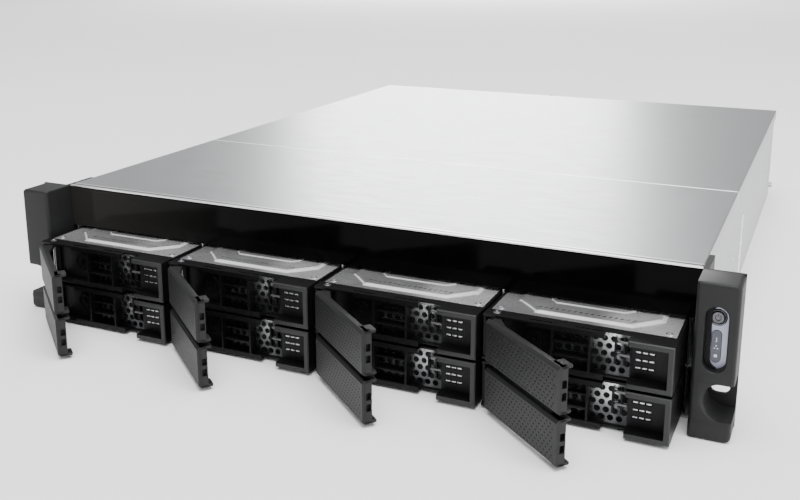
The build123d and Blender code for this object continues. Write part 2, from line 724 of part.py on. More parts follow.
# Fan frames: square frame, round duct, struts and motor seat with the bearing hole
with BuildPart() as fan_frames:
    for fan_x in FAN_X:
        with BuildSketch(across(FAN_Y)):
            with Locations((fan_x, FAN_CENTRE_Z)):
                Rectangle(FAN_SIZE, FAN_SIZE)
            chamfer(vertices(), FAN_CORNER)
            with Locations((fan_x, FAN_CENTRE_Z)):
                RegularPolygon(FAN_DUCT_RADIUS, FAN_DUCT_SIDES, major_radius=False, mode=Mode.SUBTRACT)
        extrude(amount=-FAN_DEPTH)
        with BuildSketch(across(FAN_Y + FAN_DEPTH)):
            with Locations((fan_x, FAN_CENTRE_Z)):
                RegularPolygon(FAN_HUB, FAN_HUB_SIDES)
            with Locations((fan_x, FAN_CENTRE_Z)):
                with PolarLocations(FAN_DUCT_RADIUS / 2, FAN_STRUTS):
                    Rectangle(FAN_DUCT_RADIUS, FAN_STRUT)
            with Locations((fan_x, FAN_CENTRE_Z)):
                RegularPolygon(
                    FAN_SHAFT + FAN_SHAFT_GAP,
                    STUD_SIDES,
                    major_radius=False,
                    mode=Mode.SUBTRACT,
                )
        extrude(amount=FAN_MOTOR)
save(fan_frames.part, "fan_frames")

# Fan rotor, built upright about Z: hub cup, shaft and pitched blades
rotor_depth = FAN_DEPTH - FAN_MOTOR - FAN_AXIAL_GAP
blade_root = FAN_HUB - FAN_BLADE_THICKNESS
with BuildPart() as fan_rotor:
    with BuildSketch():
        Circle(FAN_HUB)
    extrude(amount=rotor_depth - FAN_AXIAL_GAP)
    with BuildSketch(Plane.XY.offset(rotor_depth - FAN_AXIAL_GAP)):
        RegularPolygon(FAN_SHAFT, STUD_SIDES)
    extrude(amount=FAN_MOTOR + FAN_AXIAL_GAP)
    with Locations(Plane.XY.offset((rotor_depth - FAN_AXIAL_GAP) / 2)):
        with PolarLocations((blade_root + FAN_BLADE_TIP) / 2, FAN_BLADES):
            Box(
                FAN_BLADE_TIP - blade_root,
                FAN_BLADE_CHORD,
                FAN_BLADE_THICKNESS,
                rotation=(FAN_BLADE_ANGLE, 0, 0),
            )
for number, fan_x in enumerate(FAN_X, start=1):
    rotor_place = Location((fan_x, FAN_Y + FAN_AXIAL_GAP, FAN_CENTRE_Z), (-90, 0, 0))
    save(fan_rotor.part.moved(rotor_place), f"fan_rotor_{number}")

# Mainboard on standoffs with two memory modules upright in their sockets
with BuildPart() as mainboard:
    with BuildSketch(Plane.XY.offset(BOARD_BASE)):
        with Locations(((BOARD_LEFT + BOARD_RIGHT) / 2, (BOARD_FRONT + BOARD_BACK) / 2)):
            Rectangle(BOARD_RIGHT - BOARD_LEFT, BOARD_BACK - BOARD_FRONT)
    extrude(amount=BOARD_THICKNESS)
    with BuildSketch(Plane.XY.offset(PAN_STEEL)):
        with Locations(((BOARD_LEFT + BOARD_RIGHT) / 2, (BOARD_FRONT + BOARD_BACK) / 2)):
            with GridLocations(
                BOARD_RIGHT - BOARD_LEFT - 4 * STANDOFF_RADIUS,
                BOARD_BACK - BOARD_FRONT - 4 * STANDOFF_RADIUS,
                2,
                2,
            ):
                RegularPolygon(STANDOFF_RADIUS, 6)
    extrude(amount=BOARD_RISE)
    with BuildSketch(Plane.XY.offset(BOARD_TOP)):
        for memory_x in MEMORY_X:
            with Locations((memory_x, MEMORY_FRONT + MEMORY_LENGTH / 2)):
                Rectangle(MEMORY_THICKNESS, MEMORY_LENGTH)
    extrude(amount=MEMORY_HEIGHT)
save(mainboard.part, "mainboard")

# Heat sink: base block with upright fins running front to back
with BuildPart() as heat_sink:
    with BuildSketch(across(SINK_Y - SINK_SIZE / 2)):
        with Locations((SINK_X, BOARD_TOP + SINK_BASE / 2)):
            Rectangle(SINK_SIZE, SINK_BASE)
        with Locations((SINK_X, BOARD_TOP + SINK_HEIGHT / 2)):
            with GridLocations((SINK_SIZE - SINK_FIN) / (SINK_FINS - 1), 1, SINK_FINS, 1):
                Rectangle(SINK_FIN, SINK_HEIGHT)
    extrude(amount=-SINK_SIZE)
save(heat_sink.part, "heat_sink")

# Socket shells on the mainboard, reaching through the rear wall
with BuildPart() as rear_sockets:
    with BuildSketch(across(REAR_WALL_BACK - PORT_DEPTH)):
        for index in range(LAN_PORTS):
            with Locations((LAN_LEFT + index * LAN_PITCH, BOARD_TOP + LAN_HEIGHT / 2)):
                Rectangle(LAN_WIDTH, LAN_HEIGHT)
        for index in range(USB_PORTS):
            with Locations((USB_LEFT + index * USB_PITCH, BOARD_TOP + USB_HEIGHT / 2)):
                Rectangle(USB_WIDTH, USB_HEIGHT)
    extrude(amount=-PORT_DEPTH)
    with BuildSketch(across(REAR_WALL_BACK - PORT_DEPTH + PORT_SHELL)):
        for index in range(LAN_PORTS):
            with Locations((LAN_LEFT + index * LAN_PITCH, BOARD_TOP + LAN_HEIGHT / 2)):
                Rectangle(LAN_WIDTH - 2 * PORT_SHELL, LAN_HEIGHT - 2 * PORT_SHELL)
        for index in range(USB_PORTS):
            with Locations((USB_LEFT + index * USB_PITCH, BOARD_TOP + USB_HEIGHT / 2)):
                Rectangle(USB_WIDTH - 2 * PORT_SHELL, USB_HEIGHT - 2 * PORT_SHELL)
    extrude(amount=PORT_SHELL - PORT_DEPTH, mode=Mode.SUBTRACT)
save(rear_sockets.part, "rear_sockets")


def supply_module(base):
    """Slide-in power supply: box, vent grille, mains inlet and pull handle."""
    middle = base + SUPPLY_HEIGHT / 2
    with BuildPart(mode=Mode.PRIVATE) as module:
        add(bar(SUPPLY_LEFT, SUPPLY_RIGHT, SUPPLY_FRONT, SUPPLY_BACK, base, base + SUPPLY_HEIGHT))
        # Vent grille sunk in the rear face
        with BuildSketch(across(SUPPLY_BACK)):
            with Locations((SUPPLY_LEFT + HANDLE_X, middle)):
                with GridLocations(1, GRILLE_PITCH, 1, GRILLE_SLOTS):
                    Rectangle(GRILLE_WIDTH, GRILLE_BAR)
        extrude(amount=GRILLE_DEPTH, mode=Mode.SUBTRACT)
        # Mains inlet with bevelled upper corners
        with BuildSketch(across(SUPPLY_BACK)):
            with Locations((SUPPLY_LEFT + INLET_X, middle)):
                Rectangle(INLET_WIDTH, INLET_HEIGHT)
            chamfer(vertices().group_by(Axis.Y)[-1], INLET_CORNER)
        extrude(amount=INLET_DEPTH, mode=Mode.SUBTRACT)
        # Pull handle, a flat loop standing out of the rear face
        with BuildSketch(Plane.XY.offset(middle - HANDLE_BAR / 2)):
            with Locations((SUPPLY_LEFT + HANDLE_X, SUPPLY_BACK + HANDLE_REACH / 2)):
                Rectangle(HANDLE_WIDTH, HANDLE_REACH)
                chamfer(vertices().group_by(Axis.Y)[-1], HANDLE_CORNER)
            with Locations((SUPPLY_LEFT + HANDLE_X, SUPPLY_BACK + (HANDLE_REACH - HANDLE_BAR) / 2)):
                Rectangle(
                    HANDLE_WIDTH - 2 * HANDLE_BAR,
                    HANDLE_REACH - HANDLE_BAR,
                    mode=Mode.SUBTRACT,
                )
        extrude(amount=HANDLE_BAR)
    return module.part


for number, base in enumerate(SUPPLY_BASES, start=1):
    save(supply_module(base), f"power_supply_{number}")

# The tray pieces stand in their own frame: X = 0 at the right edge of the front,
# Y = 0 at the front face of the finger block, Z = 0 at the underside.

# Tray carrier: floor and walls, front frame, finger block and latch bracket
with BuildPart() as carrier:
    with BuildSketch(across(FRAME_BACK)):
        with Locations((-TRAY_WIDTH / 2, TRAY_WALL_HEIGHT / 2)):
            Rectangle(TRAY_WIDTH, TRAY_WALL_HEIGHT)
        with Locations((-TRAY_WIDTH / 2, TRAY_FLOOR + TRAY_WALL_HEIGHT / 2)):
            Rectangle(TRAY_WIDTH - 2 * TRAY_WALL, TRAY_WALL_HEIGHT, mode=Mode.SUBTRACT)
    extrude(amount=FRAME_BACK - TRAY_LENGTH)
    # Frame plates above and below the windows, notched for the lever's hooks
    for low in (0, TRAY_HEIGHT - FRAME_PLATE):
        with BuildSketch(Plane.XY.offset(low)):
            with BuildLine():
                Polyline(
                    (-TRAY_WIDTH, FRAME_SETBACK),
                    (-NOTCH_LEFT, FRAME_SETBACK),
                    (-NOTCH_LEFT, NOTCH_SETBACK),
                    (-BLOCK_WIDTH, NOTCH_SETBACK),
                    (-BLOCK_WIDTH, BLOCK_DEPTH),
                    (0, BLOCK_DEPTH),
                    (0, FRAME_BACK),
                    (-TRAY_WIDTH, FRAME_BACK),
                    close=True,
                )
            make_face()
            with Locations((-PIN_X, PIN_Y)):
                RegularPolygon(PIN_RADIUS, PIN_SIDES, major_radius=False, mode=Mode.SUBTRACT)
        extrude(amount=FRAME_PLATE)
    with BuildSketch(Plane.XY.offset(TRAY_HEIGHT - FRAME_PLATE)):
        for slot_x in FLANGE_SLOT_X:
            with Locations((-slot_x, FLANGE_SLOT_SETBACK)):
                Rectangle(FLANGE_SLOT_LENGTH, FLANGE_SLOT_WIDTH)
    extrude(amount=FRAME_PLATE, mode=Mode.SUBTRACT)
    # Lips, ribs, louvres and the closed panel behind the hinge
    frame_y = FRAME_SETBACK + FRAME_PLATE
    add(bar(-LIP_LEFT, -NOTCH_LEFT, FRAME_SETBACK, frame_y, 0, LIP_HEIGHT))
    add(bar(-LIP_LEFT, -NOTCH_LEFT, FRAME_SETBACK, frame_y, TRAY_HEIGHT - LIP_HEIGHT, TRAY_HEIGHT))
    add(bar(-RIB_A - RIB, -RIB_A, FRAME_SETBACK, SHIELD_FRONT, 0, TRAY_HEIGHT))
    add(bar(-RIB_B - RIB, -RIB_B, FRAME_SETBACK, FRAME_BACK, 0, TRAY_HEIGHT))
    add(bar(-TRAY_WIDTH, -RIB_B, FRAME_BACK, FRAME_BACK + PANEL_WALL, 0, TRAY_WALL_HEIGHT))
    for louvre in LOUVRE_HEIGHTS:
        add(bar(-RIB_B, -RIB_A - RIB, LOUVRE_FRONT, SHIELD_FRONT, louvre, louvre + TRAY_FLOOR))
    # Walls forward of the floor
    wall_y = FRAME_SETBACK + LEVER_FLANGE
    add(bar(-TRAY_WIDTH, TRAY_WALL - TRAY_WIDTH, wall_y, FRAME_BACK, 0, TRAY_WALL_HEIGHT))
    add(bar(-TRAY_WALL, 0, BLOCK_DEPTH, FRAME_BACK, 0, TRAY_WALL_HEIGHT))
    # Finger block, open to the left, with slots in its back wall
    add(bar(-BLOCK_WIDTH, 0, 0, BLOCK_DEPTH, 0, TRAY_HEIGHT))
    chamfer(carrier.faces().group_by(Axis.Y)[0].edges(), BLOCK_BEVEL)
    add(
        bar(
            -BLOCK_WIDTH,
            -BLOCK_RIM,
            0,
            RECESS_DEPTH,
            BLOCK_RIM,
            TRAY_HEIGHT - BLOCK_RIM,
        ),
        mode=Mode.SUBTRACT,
    )
    with BuildSketch(across(RECESS_DEPTH)):
        slot_x = RECESS_SLOT_INSET + RECESS_SLOT_WIDTH / 2 - BLOCK_WIDTH
        slot_z = RECESS_SLOT_LOW + RECESS_SLOT_PITCH * (RECESS_SLOTS - 1) / 2
        with Locations((slot_x, slot_z)):
            with GridLocations(1, RECESS_SLOT_PITCH, 1, RECESS_SLOTS):
                Rectangle(RECESS_SLOT_WIDTH, RECESS_SLOT_HEIGHT)
    extrude(amount=RECESS_DEPTH - BLOCK_DEPTH, mode=Mode.SUBTRACT)
    # Latch bracket: two uprights and two prongs that run into the block
    for bar_x in (BRACKET_NEAR, BRACKET_FAR):
        add(
            bar(
                -bar_x - BRACKET_BAR,
                -bar_x,
                BRACKET_FRONT,
                BRACKET_BACK,
                BRACKET_LOW,
                BRACKET_HIGH,
            )
        )
    for prong in BRACKET_PRONGS:
        add(
            bar(
                -BRACKET_FAR,
                -BLOCK_WIDTH,
                BRACKET_FRONT,
                BRACKET_FRONT + BRACKET_BAR,
                prong,
                prong + BRACKET_BAR,
            )
        )
    # Window in the floor
    with BuildSketch():
        with Locations((-TRAY_WIDTH / 2, FLOOR_WINDOW_CENTRE)):
            Rectangle(FLOOR_WINDOW_WIDTH, FLOOR_WINDOW_LENGTH)
    extrude(amount=TRAY_FLOOR, mode=Mode.SUBTRACT)

# Perforated plate behind the windows
with BuildPart() as shield:
    with BuildSketch(across(SHIELD_FRONT)):
        left, right = -RIB_B, -TRAY_WALL
        with Locations(((left + right) / 2, TRAY_HEIGHT / 2)):
            Rectangle(right - left, TRAY_HEIGHT - 2 * FRAME_PLATE)
        for row in range(VENT_ROWS):
            row_z = TRAY_HEIGHT / 2 + (row - (VENT_ROWS - 1) / 2) * VENT_ROW_PITCH
            with Locations((-VENT_CENTRE_X, row_z)):
                with GridLocations(VENT_PITCH, 1, VENTS_IN_ROW - row % 2, 1):
                    RegularPolygon(VENT_RADIUS, VENT_SIDES, mode=Mode.SUBTRACT)
        window_x = -(RIB_A + RIB + RIB_B) / 2
        with Locations((window_x, TRAY_HEIGHT / 2)):
            with GridLocations(1, 2 * WINDOW_SLOT_RISE, 1, 2):
                Rectangle(WINDOW_SLOT_WIDTH, WINDOW_SLOT_HEIGHT, mode=Mode.SUBTRACT)
    extrude(amount=-SHIELD_STEEL)

# Lever in its closed place: channel section, end wall with windows, hooks and hinge ears
lever_right = BLOCK_WIDTH + LEVER_SHORT
ear_levels = (
    FRAME_PLATE + EAR_GAP,
    TRAY_HEIGHT - FRAME_PLATE - EAR_GAP - EAR_THICKNESS,
)
with BuildPart() as lever:
    with BuildSketch(Plane.YZ.offset(-LEVER_LEFT)):
        with BuildLine():
            Polyline(
                (0, LEVER_INSET + LEVER_BEVEL),
                (LEVER_BEVEL, LEVER_INSET),
                (LEVER_DEPTH, LEVER_INSET),
                (LEVER_DEPTH, LEVER_INSET + LEVER_FLANGE),
                (LEVER_PLATE, LEVER_INSET + LEVER_FLANGE),
                (LEVER_PLATE, LEVER_TOP - LEVER_FLANGE),
                (LEVER_DEPTH, LEVER_TOP - LEVER_FLANGE),
                (LEVER_DEPTH, LEVER_TOP),
                (LEVER_BEVEL, LEVER_TOP),
                (0, LEVER_TOP - LEVER_BEVEL),
                close=True,
            )
        make_face()
    extrude(amount=LEVER_LEFT - lever_right)
    # End wall at the free end and a shallower one at the hinge end
    add(
        bar(
            -lever_right - LEVER_END_WALL,
            -lever_right,
            LEVER_BEVEL,
            LEVER_END_DEPTH,
            LEVER_INSET,
            LEVER_TOP,
        )
    )
    add(
        bar(
            -LEVER_LEFT,
            LEVER_FLANGE - LEVER_LEFT,
            LEVER_BEVEL,
            LEVER_DEPTH,
            LEVER_INSET,
            LEVER_TOP,
        )
    )
    with BuildSketch(Plane.YZ.offset(-lever_right - LEVER_END_WALL)):
        for height in LEVER_WINDOW_HEIGHTS:
            with Locations((LEVER_WINDOW_CENTRE, height)):
                Rectangle(LEVER_WINDOW_WIDTH, LEVER_WINDOW_HEIGHT)
    extrude(amount=LEVER_END_WALL, mode=Mode.SUBTRACT)
    # Hooks above and below that catch in the notches of the frame
    for low in (LEVER_INSET, LEVER_TOP - LEVER_FLANGE):
        add(
            bar(
                -lever_right - HOOK_LENGTH,
                -lever_right,
                LEVER_PLATE,
                HOOK_DEPTH,
                low,
                low + LEVER_FLANGE,
            )
        )
    # Hinge ears that reach back to the pin
    for level in ear_levels:
        with BuildSketch(Plane.XY.offset(level)):
            with BuildLine():
                Polyline(
                    (-LEVER_LEFT, LEVER_PLATE / 2),
                    (EAR_REACH - LEVER_LEFT, LEVER_PLATE / 2),
                    (EAR_REACH - LEVER_LEFT, LEVER_DEPTH),
                    (EAR_FLANK - PIN_X, PIN_Y),
                    (-EAR_RADIUS - PIN_X, PIN_Y),
                    close=True,
                )
            make_face()
            with Locations((-PIN_X, PIN_Y)):
                RegularPolygon(EAR_RADIUS, EAR_SIDES)
                RegularPolygon(
                    PIN_RADIUS + PIN_GAP,
                    PIN_SIDES,
                    major_radius=False,
                    mode=Mode.SUBTRACT,
                )
        extrude(amount=EAR_THICKNESS)

# Hinge pin with a flat head on the frame's upper plate
with BuildPart() as hinge_pin:
    with BuildSketch():
        with Locations((-PIN_X, PIN_Y)):
            Circle(PIN_RADIUS)
    extrude(amount=TRAY_HEIGHT)
    with BuildSketch(Plane.XY.offset(TRAY_HEIGHT)):
        with Locations((-PIN_X, PIN_Y)):
            RegularPolygon(PIN_HEAD_RADIUS, PIN_SIDES)
    extrude(amount=PIN_HEAD)


def lid_outline(step, level):
    """Rectangle of the drive's lid drawn in by a step, with corners cut at a slant."""
    width = DRIVE_WIDTH - 2 * (LID_RIM_SIDE + step)
    length = DRIVE_LENGTH - 2 * (LID_RIM_END + step)
    centre = (-TRAY_WIDTH / 2, DRIVE_FRONT + DRIVE_LENGTH / 2)
    with BuildSketch(Plane.XY.offset(level), mode=Mode.PRIVATE) as outline:
        with Locations(centre):
            Rectangle(width, length)
        chamfer(outline.vertices(), LID_CORNER)
    return outline.sketch


# Hard drive: cast body with a stamped lid, raised rim and sunken middle
lid_base = TRAY_FLOOR + DRIVE_HEIGHT - LID_RISE
with BuildPart() as drive:
    with BuildSketch(Plane.XY.offset(TRAY_FLOOR)):
        with Locations((-TRAY_WIDTH / 2, DRIVE_FRONT + DRIVE_LENGTH / 2)):
            Rectangle(DRIVE_WIDTH, DRIVE_LENGTH)
    extrude(amount=DRIVE_HEIGHT - LID_RISE)
    extrude(lid_outline(0, lid_base), amount=LID_RISE, taper=LID_SLOPE)
    lid_middle = lid_outline(LID_STEP, lid_base + LID_RISE)
    extrude(lid_middle, amount=-LID_RECESS, taper=LID_SLOPE, mode=Mode.SUBTRACT)

# The eight trays, numbered from the left, upper row first
pin_axis = Axis((-PIN_X, PIN_Y, 0), (0, 0, 1))
open_lever = lever.part.rotate(pin_axis, -LEVER_OPEN)
for column in range(COLUMNS):
    for row in range(ROWS):
        number = 2 * column + ROWS - row
        right_edge = divider_centres[column + 1] - TRAY_GAP / 2
        place = Location((right_edge, TRAY_REST_Y, ROW_BASE + row * ROW_PITCH))
        save(carrier.part.moved(place), f"tray_{number}_carrier")
        save(shield.part.moved(place), f"tray_{number}_shield")
        save(hinge_pin.part.moved(place), f"tray_{number}_hinge_pin")
        save(drive.part.moved(place), f"tray_{number}_drive")
        save(open_lever.moved(place), f"tray_{number}_lever")
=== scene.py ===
import json
import math
import bmesh
import bpy
import numpy as np
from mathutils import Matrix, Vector
from mathutils.geometry import tessellate_polygon

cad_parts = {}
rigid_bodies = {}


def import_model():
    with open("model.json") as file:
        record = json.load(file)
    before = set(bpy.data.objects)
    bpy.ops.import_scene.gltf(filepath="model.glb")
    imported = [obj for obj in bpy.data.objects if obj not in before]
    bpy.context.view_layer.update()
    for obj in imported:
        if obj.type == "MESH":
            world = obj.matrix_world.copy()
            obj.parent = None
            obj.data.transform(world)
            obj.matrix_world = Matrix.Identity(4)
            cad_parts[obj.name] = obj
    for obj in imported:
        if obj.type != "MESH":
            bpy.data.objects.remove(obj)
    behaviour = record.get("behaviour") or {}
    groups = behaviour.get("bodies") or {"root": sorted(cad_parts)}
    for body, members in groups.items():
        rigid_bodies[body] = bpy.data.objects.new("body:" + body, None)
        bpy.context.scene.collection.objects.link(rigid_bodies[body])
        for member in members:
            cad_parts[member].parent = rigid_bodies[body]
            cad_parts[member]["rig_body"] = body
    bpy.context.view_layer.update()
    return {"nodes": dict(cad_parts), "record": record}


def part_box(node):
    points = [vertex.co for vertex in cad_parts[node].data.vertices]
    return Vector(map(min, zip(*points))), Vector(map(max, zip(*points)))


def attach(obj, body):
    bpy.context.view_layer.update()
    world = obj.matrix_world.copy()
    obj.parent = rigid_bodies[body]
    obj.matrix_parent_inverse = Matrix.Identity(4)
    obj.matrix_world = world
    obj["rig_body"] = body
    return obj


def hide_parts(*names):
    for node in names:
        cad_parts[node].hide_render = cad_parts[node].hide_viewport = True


bl_info = {
    "name": "Rack server finish",
    "version": (1, 0, 0),
    "blender": (4, 5, 0),
    "location": "View3D > Sidebar > Server",
    "description": "Finishes and fine pieces of a two-unit rack storage server",
    "category": "Mesh",
}

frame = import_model()

# All places below are in millimetres in the frame's own axes: X right, Y back, Z up
MM = 0.001
TRAYS = range(1, 9)
NODE_SLOTS = {entry["node"]: entry["material_slot"] for entry in frame["record"]["subparts"]}
SHARP_ANGLE = math.radians(35)


def node_box(node):
    """Lowest and highest corner of a CAD node in millimetres, as two arrays."""
    low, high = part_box(node)
    return np.array(low) / MM, np.array(high) / MM


# Places that come from the frame
COVER_LOW, COVER_HIGH = node_box("front_cover")
SEAM_Y = (COVER_HIGH[1] + node_box("rear_cover")[0][1]) / 2
CASE_TOP = node_box("rear_cover")[1][2]
PANEL_LOW, PANEL_HIGH = node_box("status_panel")
PANEL_X, PANEL_Z = (PANEL_LOW[0] + PANEL_HIGH[0]) / 2, (PANEL_LOW[2] + PANEL_HIGH[2]) / 2
PANEL_FRONT = PANEL_LOW[1]
BUTTON_Z = sum(corner[2] for corner in node_box("power_button")) / 2

# Painted highlight and shadow lines across the covers: middle along Y, half width, soft edge and strength
PAINTED_HIGHLIGHT_LINES = ((0.5, 1.1, 0.4, 1.0), (5.0, 0.5, 0.8, 0.6), (SEAM_Y, 1.0, 0.8, 1.0))
PAINTED_SHADOW_LINES = ((3.0, 0.9, 0.5, 1.0), (SEAM_Y, 2.6, 1.0, 0.3))

# A tray's fine forms, in its own frame: X = 0 at the right edge, Y = 0 at the front, Z = 0 below
TRAY_HEIGHT = 26.8
PIN_X, PIN_Y, PIN_BORE = -98.4, 10.0, 1.3
LEVER_LEFT, LEVER_RIGHT = -93.5, -24.3
LEVER_LOW, LEVER_HIGH = 0.6, 26.2
LEVER_PLATE, LEVER_DEPTH, LEVER_FLANGE, LEVER_BEVEL = 2.0, 4.6, 1.5, 1.6
LEVER_OPEN = math.radians(-40.0)
DIMPLE_MARGIN_X, DIMPLE_MARGIN_Z = 1.8, 0.8
END_WALL_DEPTH, END_WALL_THICKNESS = 6.0, 2.0
END_WINDOWS_Z, END_WINDOW_HALF, END_WINDOW_Y, END_BACKING_Z = (9.9, 16.5), 2.2, (2.6, 5.4), (6.5, 20.0)
HOOK_LENGTH, HOOK_DEPTH = 8.5, 9.0
HINGE_EARS_Z, HINGE_EAR_THICKNESS, HINGE_EAR_RADIUS, HINGE_EAR_END = (1.5, 22.9), 2.4, 3.2, -79.5
PLATE_LEFT, PLATE_RIGHT, PLATE_LOW, PLATE_HIGH = -65.0, -1.4, 1.2, 25.6
PLATE_FRONT, PLATE_BACK = 11.0, 11.8
VENTS_LEFT, VENTS_RIGHT = -62.6, -24.5
DRIVE_LEFT, DRIVE_RIGHT = -103.3, -1.7
DRIVE_FRONT, DRIVE_BACK = 15.2, 162.2
DRIVE_LOW, LID_BASE = 1.0, 26.3
LID_SIDE, LID_END, LID_CORNER = 8.0, 3.5, 27.0
SLOPE_WIDTH, STEP_START, STEP_WIDTH, STEP_SHARE = 4.2, 5.2, 1.2, 0.4
BEAD_START, BEAD_END, BEAD_SLOPE = 18.5, 20.6, 0.9
# Slopes past these take the lid's painted highlight and painted shade finishes
HIGHLIGHT_SLOPE, SHADE_SLOPE = 0.11, -0.2
LID_SCREW_X, LID_SCREW_Y, LID_SCREW_RADIUS, LID_SCREW_HEIGHT = 4.2, 4.0, 2.0, 0.45
DASHES_LEFT, DASHES_RIGHT, DASH_PITCH, DASH_FRONT, DASH_BACK = -80.0, -24.0, 3.3, 27.4, 29.4
LATCH_WIRES_Z, LATCH_X, LATCH_Y = (14.7, 21.9), (-30.4, -23.9), (7.9, 9.2)
TAB_ROWS_Z, TAB_COLUMNS_X, TAB_LENGTH, TABS_Y = (9.0, 13.4, 17.8), (-21.0, -17.5, -14.0), 2.7, (8.75, 9.6)
BOSS_X, BOSS_Y = -78.0, 13.6

# Turned profiles: rows of radius and height
BOSS_PROFILE = ((0.02, -0.4), (5.6, -0.4), (5.6, 0.5), (5.2, 0.9), (4.2, 0.9), (3.9, 0.3), (1.8, 0.3),
                (1.5, 1.1), (0.02, 1.2))
PIN_PROFILE = ((0.02, 0.0), (1.2, 0.0), (1.2, 26.8), (2.2, 26.8), (2.2, 27.1), (1.9, 27.28), (1.1, 27.3),
               (0.9, 27.1), (0.02, 27.1))
RING_PROFILE = ((3.5, 0.0), (3.55, 0.5), (3.9, 0.75), (4.3, 0.7), (4.6, 0.45), (4.7, 0.0))
BUTTON_PROFILE = ((0.02, -3.4), (3.15, -3.4), (3.15, 0.55), (2.95, 0.85), (2.5, 0.9), (1.9, 0.72), (1.0, 0.6),
                  (0.02, 0.56))
LAMP_PROFILE = ((0.02, 0.0), (1.4, 0.0), (1.4, 0.5), (1.0, 0.9), (0.02, 1.0))
HEAD_PROFILE = ((0.02, 0.0), (4.5, 0.0), (4.6, 0.6), (4.6, 7.6), (4.3, 8.9), (3.2, 9.05), (2.9, 8.5),
                (0.02, 8.4))
KNURL_RADIUS, KNURL_COUNT, KNURL_DEPTH = 4.6, 40, 0.03

# Ear hoods: the hand hole's circle, the dip round it and the roundings of the edges
HOLE_X, HOLE_Z, HOLE_RADIUS = 236.2, 22.2, 10.5
DIP_DEPTH, DIP_LOW, DIP_HIGH, DIP_SLOPE = 0.5, 9.5, 32.0, 1.6
EAR_ROUND, EAR_EDGE, EAR_CORNER = 2.2, 1.2, 2.8

# Status panel, its recess in the ear, its window and signs, placed from the window's middle, and the
# power button's sign
PANEL_LENGTH, PANEL_WIDTH, PANEL_THICKNESS, BUTTON_HOLE = 35.8, 11.5, 2.0, 3.5
RECESS_LENGTH, RECESS_WIDTH = 36.0, 11.7
RECESS_RINGS = ((1.2, -24.2), (1.0, -23.3), (0.2, -22.9), (0.0, -22.4), (0.0, -15.2))
# Painted shadow of the recess's left wall: the plate's left half, scaled and moved by these
SHADOW_SCALE, SHADOW_OFFSET = (0.72, 0.965), (1.3, 0.0)
WINDOW_LENGTH, WINDOW_WIDTH, WINDOW_Z = 18.4, 5.4, 51.6
SIGN_DOTS = ((0, 4.6, 0.32), (-0.75, -1.0, 0.38), (0.75, -1.0, 0.38), (0, 0.4, 0.38))
SIGN_BAR, SIGN_SQUARE = (-0.22, 0.22, 2.6, 4.0), (-0.8, 0.8, -6.0, -4.4)
POWER_SIGN_RADII, POWER_SIGN_ENDS = (1.35, 1.6), (math.radians(125), math.radians(415))

# Rear side: mains inlets, lamps and sockets
INLET_X, INLET_PINS, INLET_PINS_Y = 60.0, ((-6.5, -2.0), (0.0, 2.0), (6.5, -2.0)), (527.2, 538.0)
LAMP_X, LAMP_Y, LAMP_Z = 78.0, 541.0, 12.0
NETWORK_X, NETWORK_PITCH, CONTACTS_Y, CONTACTS_Z = -106.0, 17.5, (524.0, 536.0), (19.4, 19.9)
CONTACT_COUNT, CONTACT_PITCH = 8, 1.02
DATA_X, DATA_PITCH, TONGUES_Y, TONGUES_Z = -30.0, 17.0, (522.0, 537.0), (12.9, 14.7)
SCREW_X, SCREW_Y, SCREW_BELOW_TOP = -21.0, 540.02, 4.9

# Case sides: screws and pressed dots, each with Y, Z and radius
SIDE_DOTS_X = 217.7
SIDE_DOTS = ((171, 45, 1.2), (191, 34, 1.2), (305, 14.5, 1.4), (470, 9.0, 1.4), (520, 55, 1.4))

# Faces with a second finish: the bead on the case's sides, which takes a painted highlight, the cage's outer
# front corners, which take painted shade, and the front of each tray's frame
BEAD_Y, BEAD_HALF, CAGE_SIDE, CAGE_FRONT, RIM_DEPTH = 240.0, 2.4, 205.0, 20.0, 0.9

# Stage, in metres and watts: each lamp has a name, a place, a target, a power and a size
FLOOR_SIZE = 40.0
SKY_STRENGTH, SKY_ANGLE, SKY_TILT = 1.4, 1.0, (math.radians(18), math.radians(12), 0.0)
WORLD_LIGHT, WORLD_SEEN = 0.6, 1.6
LAMPS = (
    ("top", (0.3, -0.2, 2.4), (0.1, 0.0, 0.0), 90.0, 2.2),
    ("back", (-1.6, 4.4, 1.3), (0.1, 0.2, 0.08), 118.0, 1.8),
    ("right", (2.0, -0.2, 0.7), (0.2, 0.2, 0.04), 17.0, 1.0),
    ("front", (1.1, -1.9, 0.9), (0.1, 0.0, 0.04), 7.0, 1.0),
)
CAMERA_PLACE, CAMERA_YAW, CAMERA_PITCH = (0.2765, -0.5185, 0.2586), -0.427, -0.232
CAMERA_LENS, CAMERA_SHIFT = 43.9, -0.1


# Sizes and colours that a user would change
def sized(name, description, default, low, high):
    """A length in metres with its limits."""
    return bpy.props.FloatProperty(name=name, description=description, default=default, min=low, max=high,
                                   unit="LENGTH", precision=5)


def coloured(name, description, default):
    """A colour that is picked in the panel."""
    return bpy.props.FloatVectorProperty(name=name, description=description, default=default, min=0, max=1,
                                         subtype="COLOR")


class ServerSizes(bpy.types.PropertyGroup):
    """Sizes of the fine forms."""

    edge_round: sized(
        "Edge rounding", "Radius of the softened edges of moulded and folded pieces", 0.0003, 0.00005, 0.001)
    dimple_pitch: sized("Dimple pitch", "Distance between dimples along a lever", 0.0033, 0.0015, 0.006)
    dimple_row: sized("Dimple rows", "Distance between rows of dimples", 0.0024, 0.001, 0.004)
    dimple_radius: sized("Dimple radius", "Radius of one dimple", 0.0006, 0.0002, 0.001)
    dimple_depth: sized("Dimple depth", "Depth of one dimple", 0.0004, 0.00005, 0.0006)
    vent_pitch: sized(
        "Vent pitch", "Distance between holes of the perforated plates", 0.0049, 0.003, 0.008)
    vent_radius: sized("Vent radius", "Radius of those holes", 0.00175, 0.0005, 0.0024)
    lid_rise: sized("Lid emboss", "Height of the pressed steps on a drive's lid", 0.00095, 0.0002, 0.001)

    def mm(self, name):
        """One size in millimetres."""
        return getattr(self, name) / MM


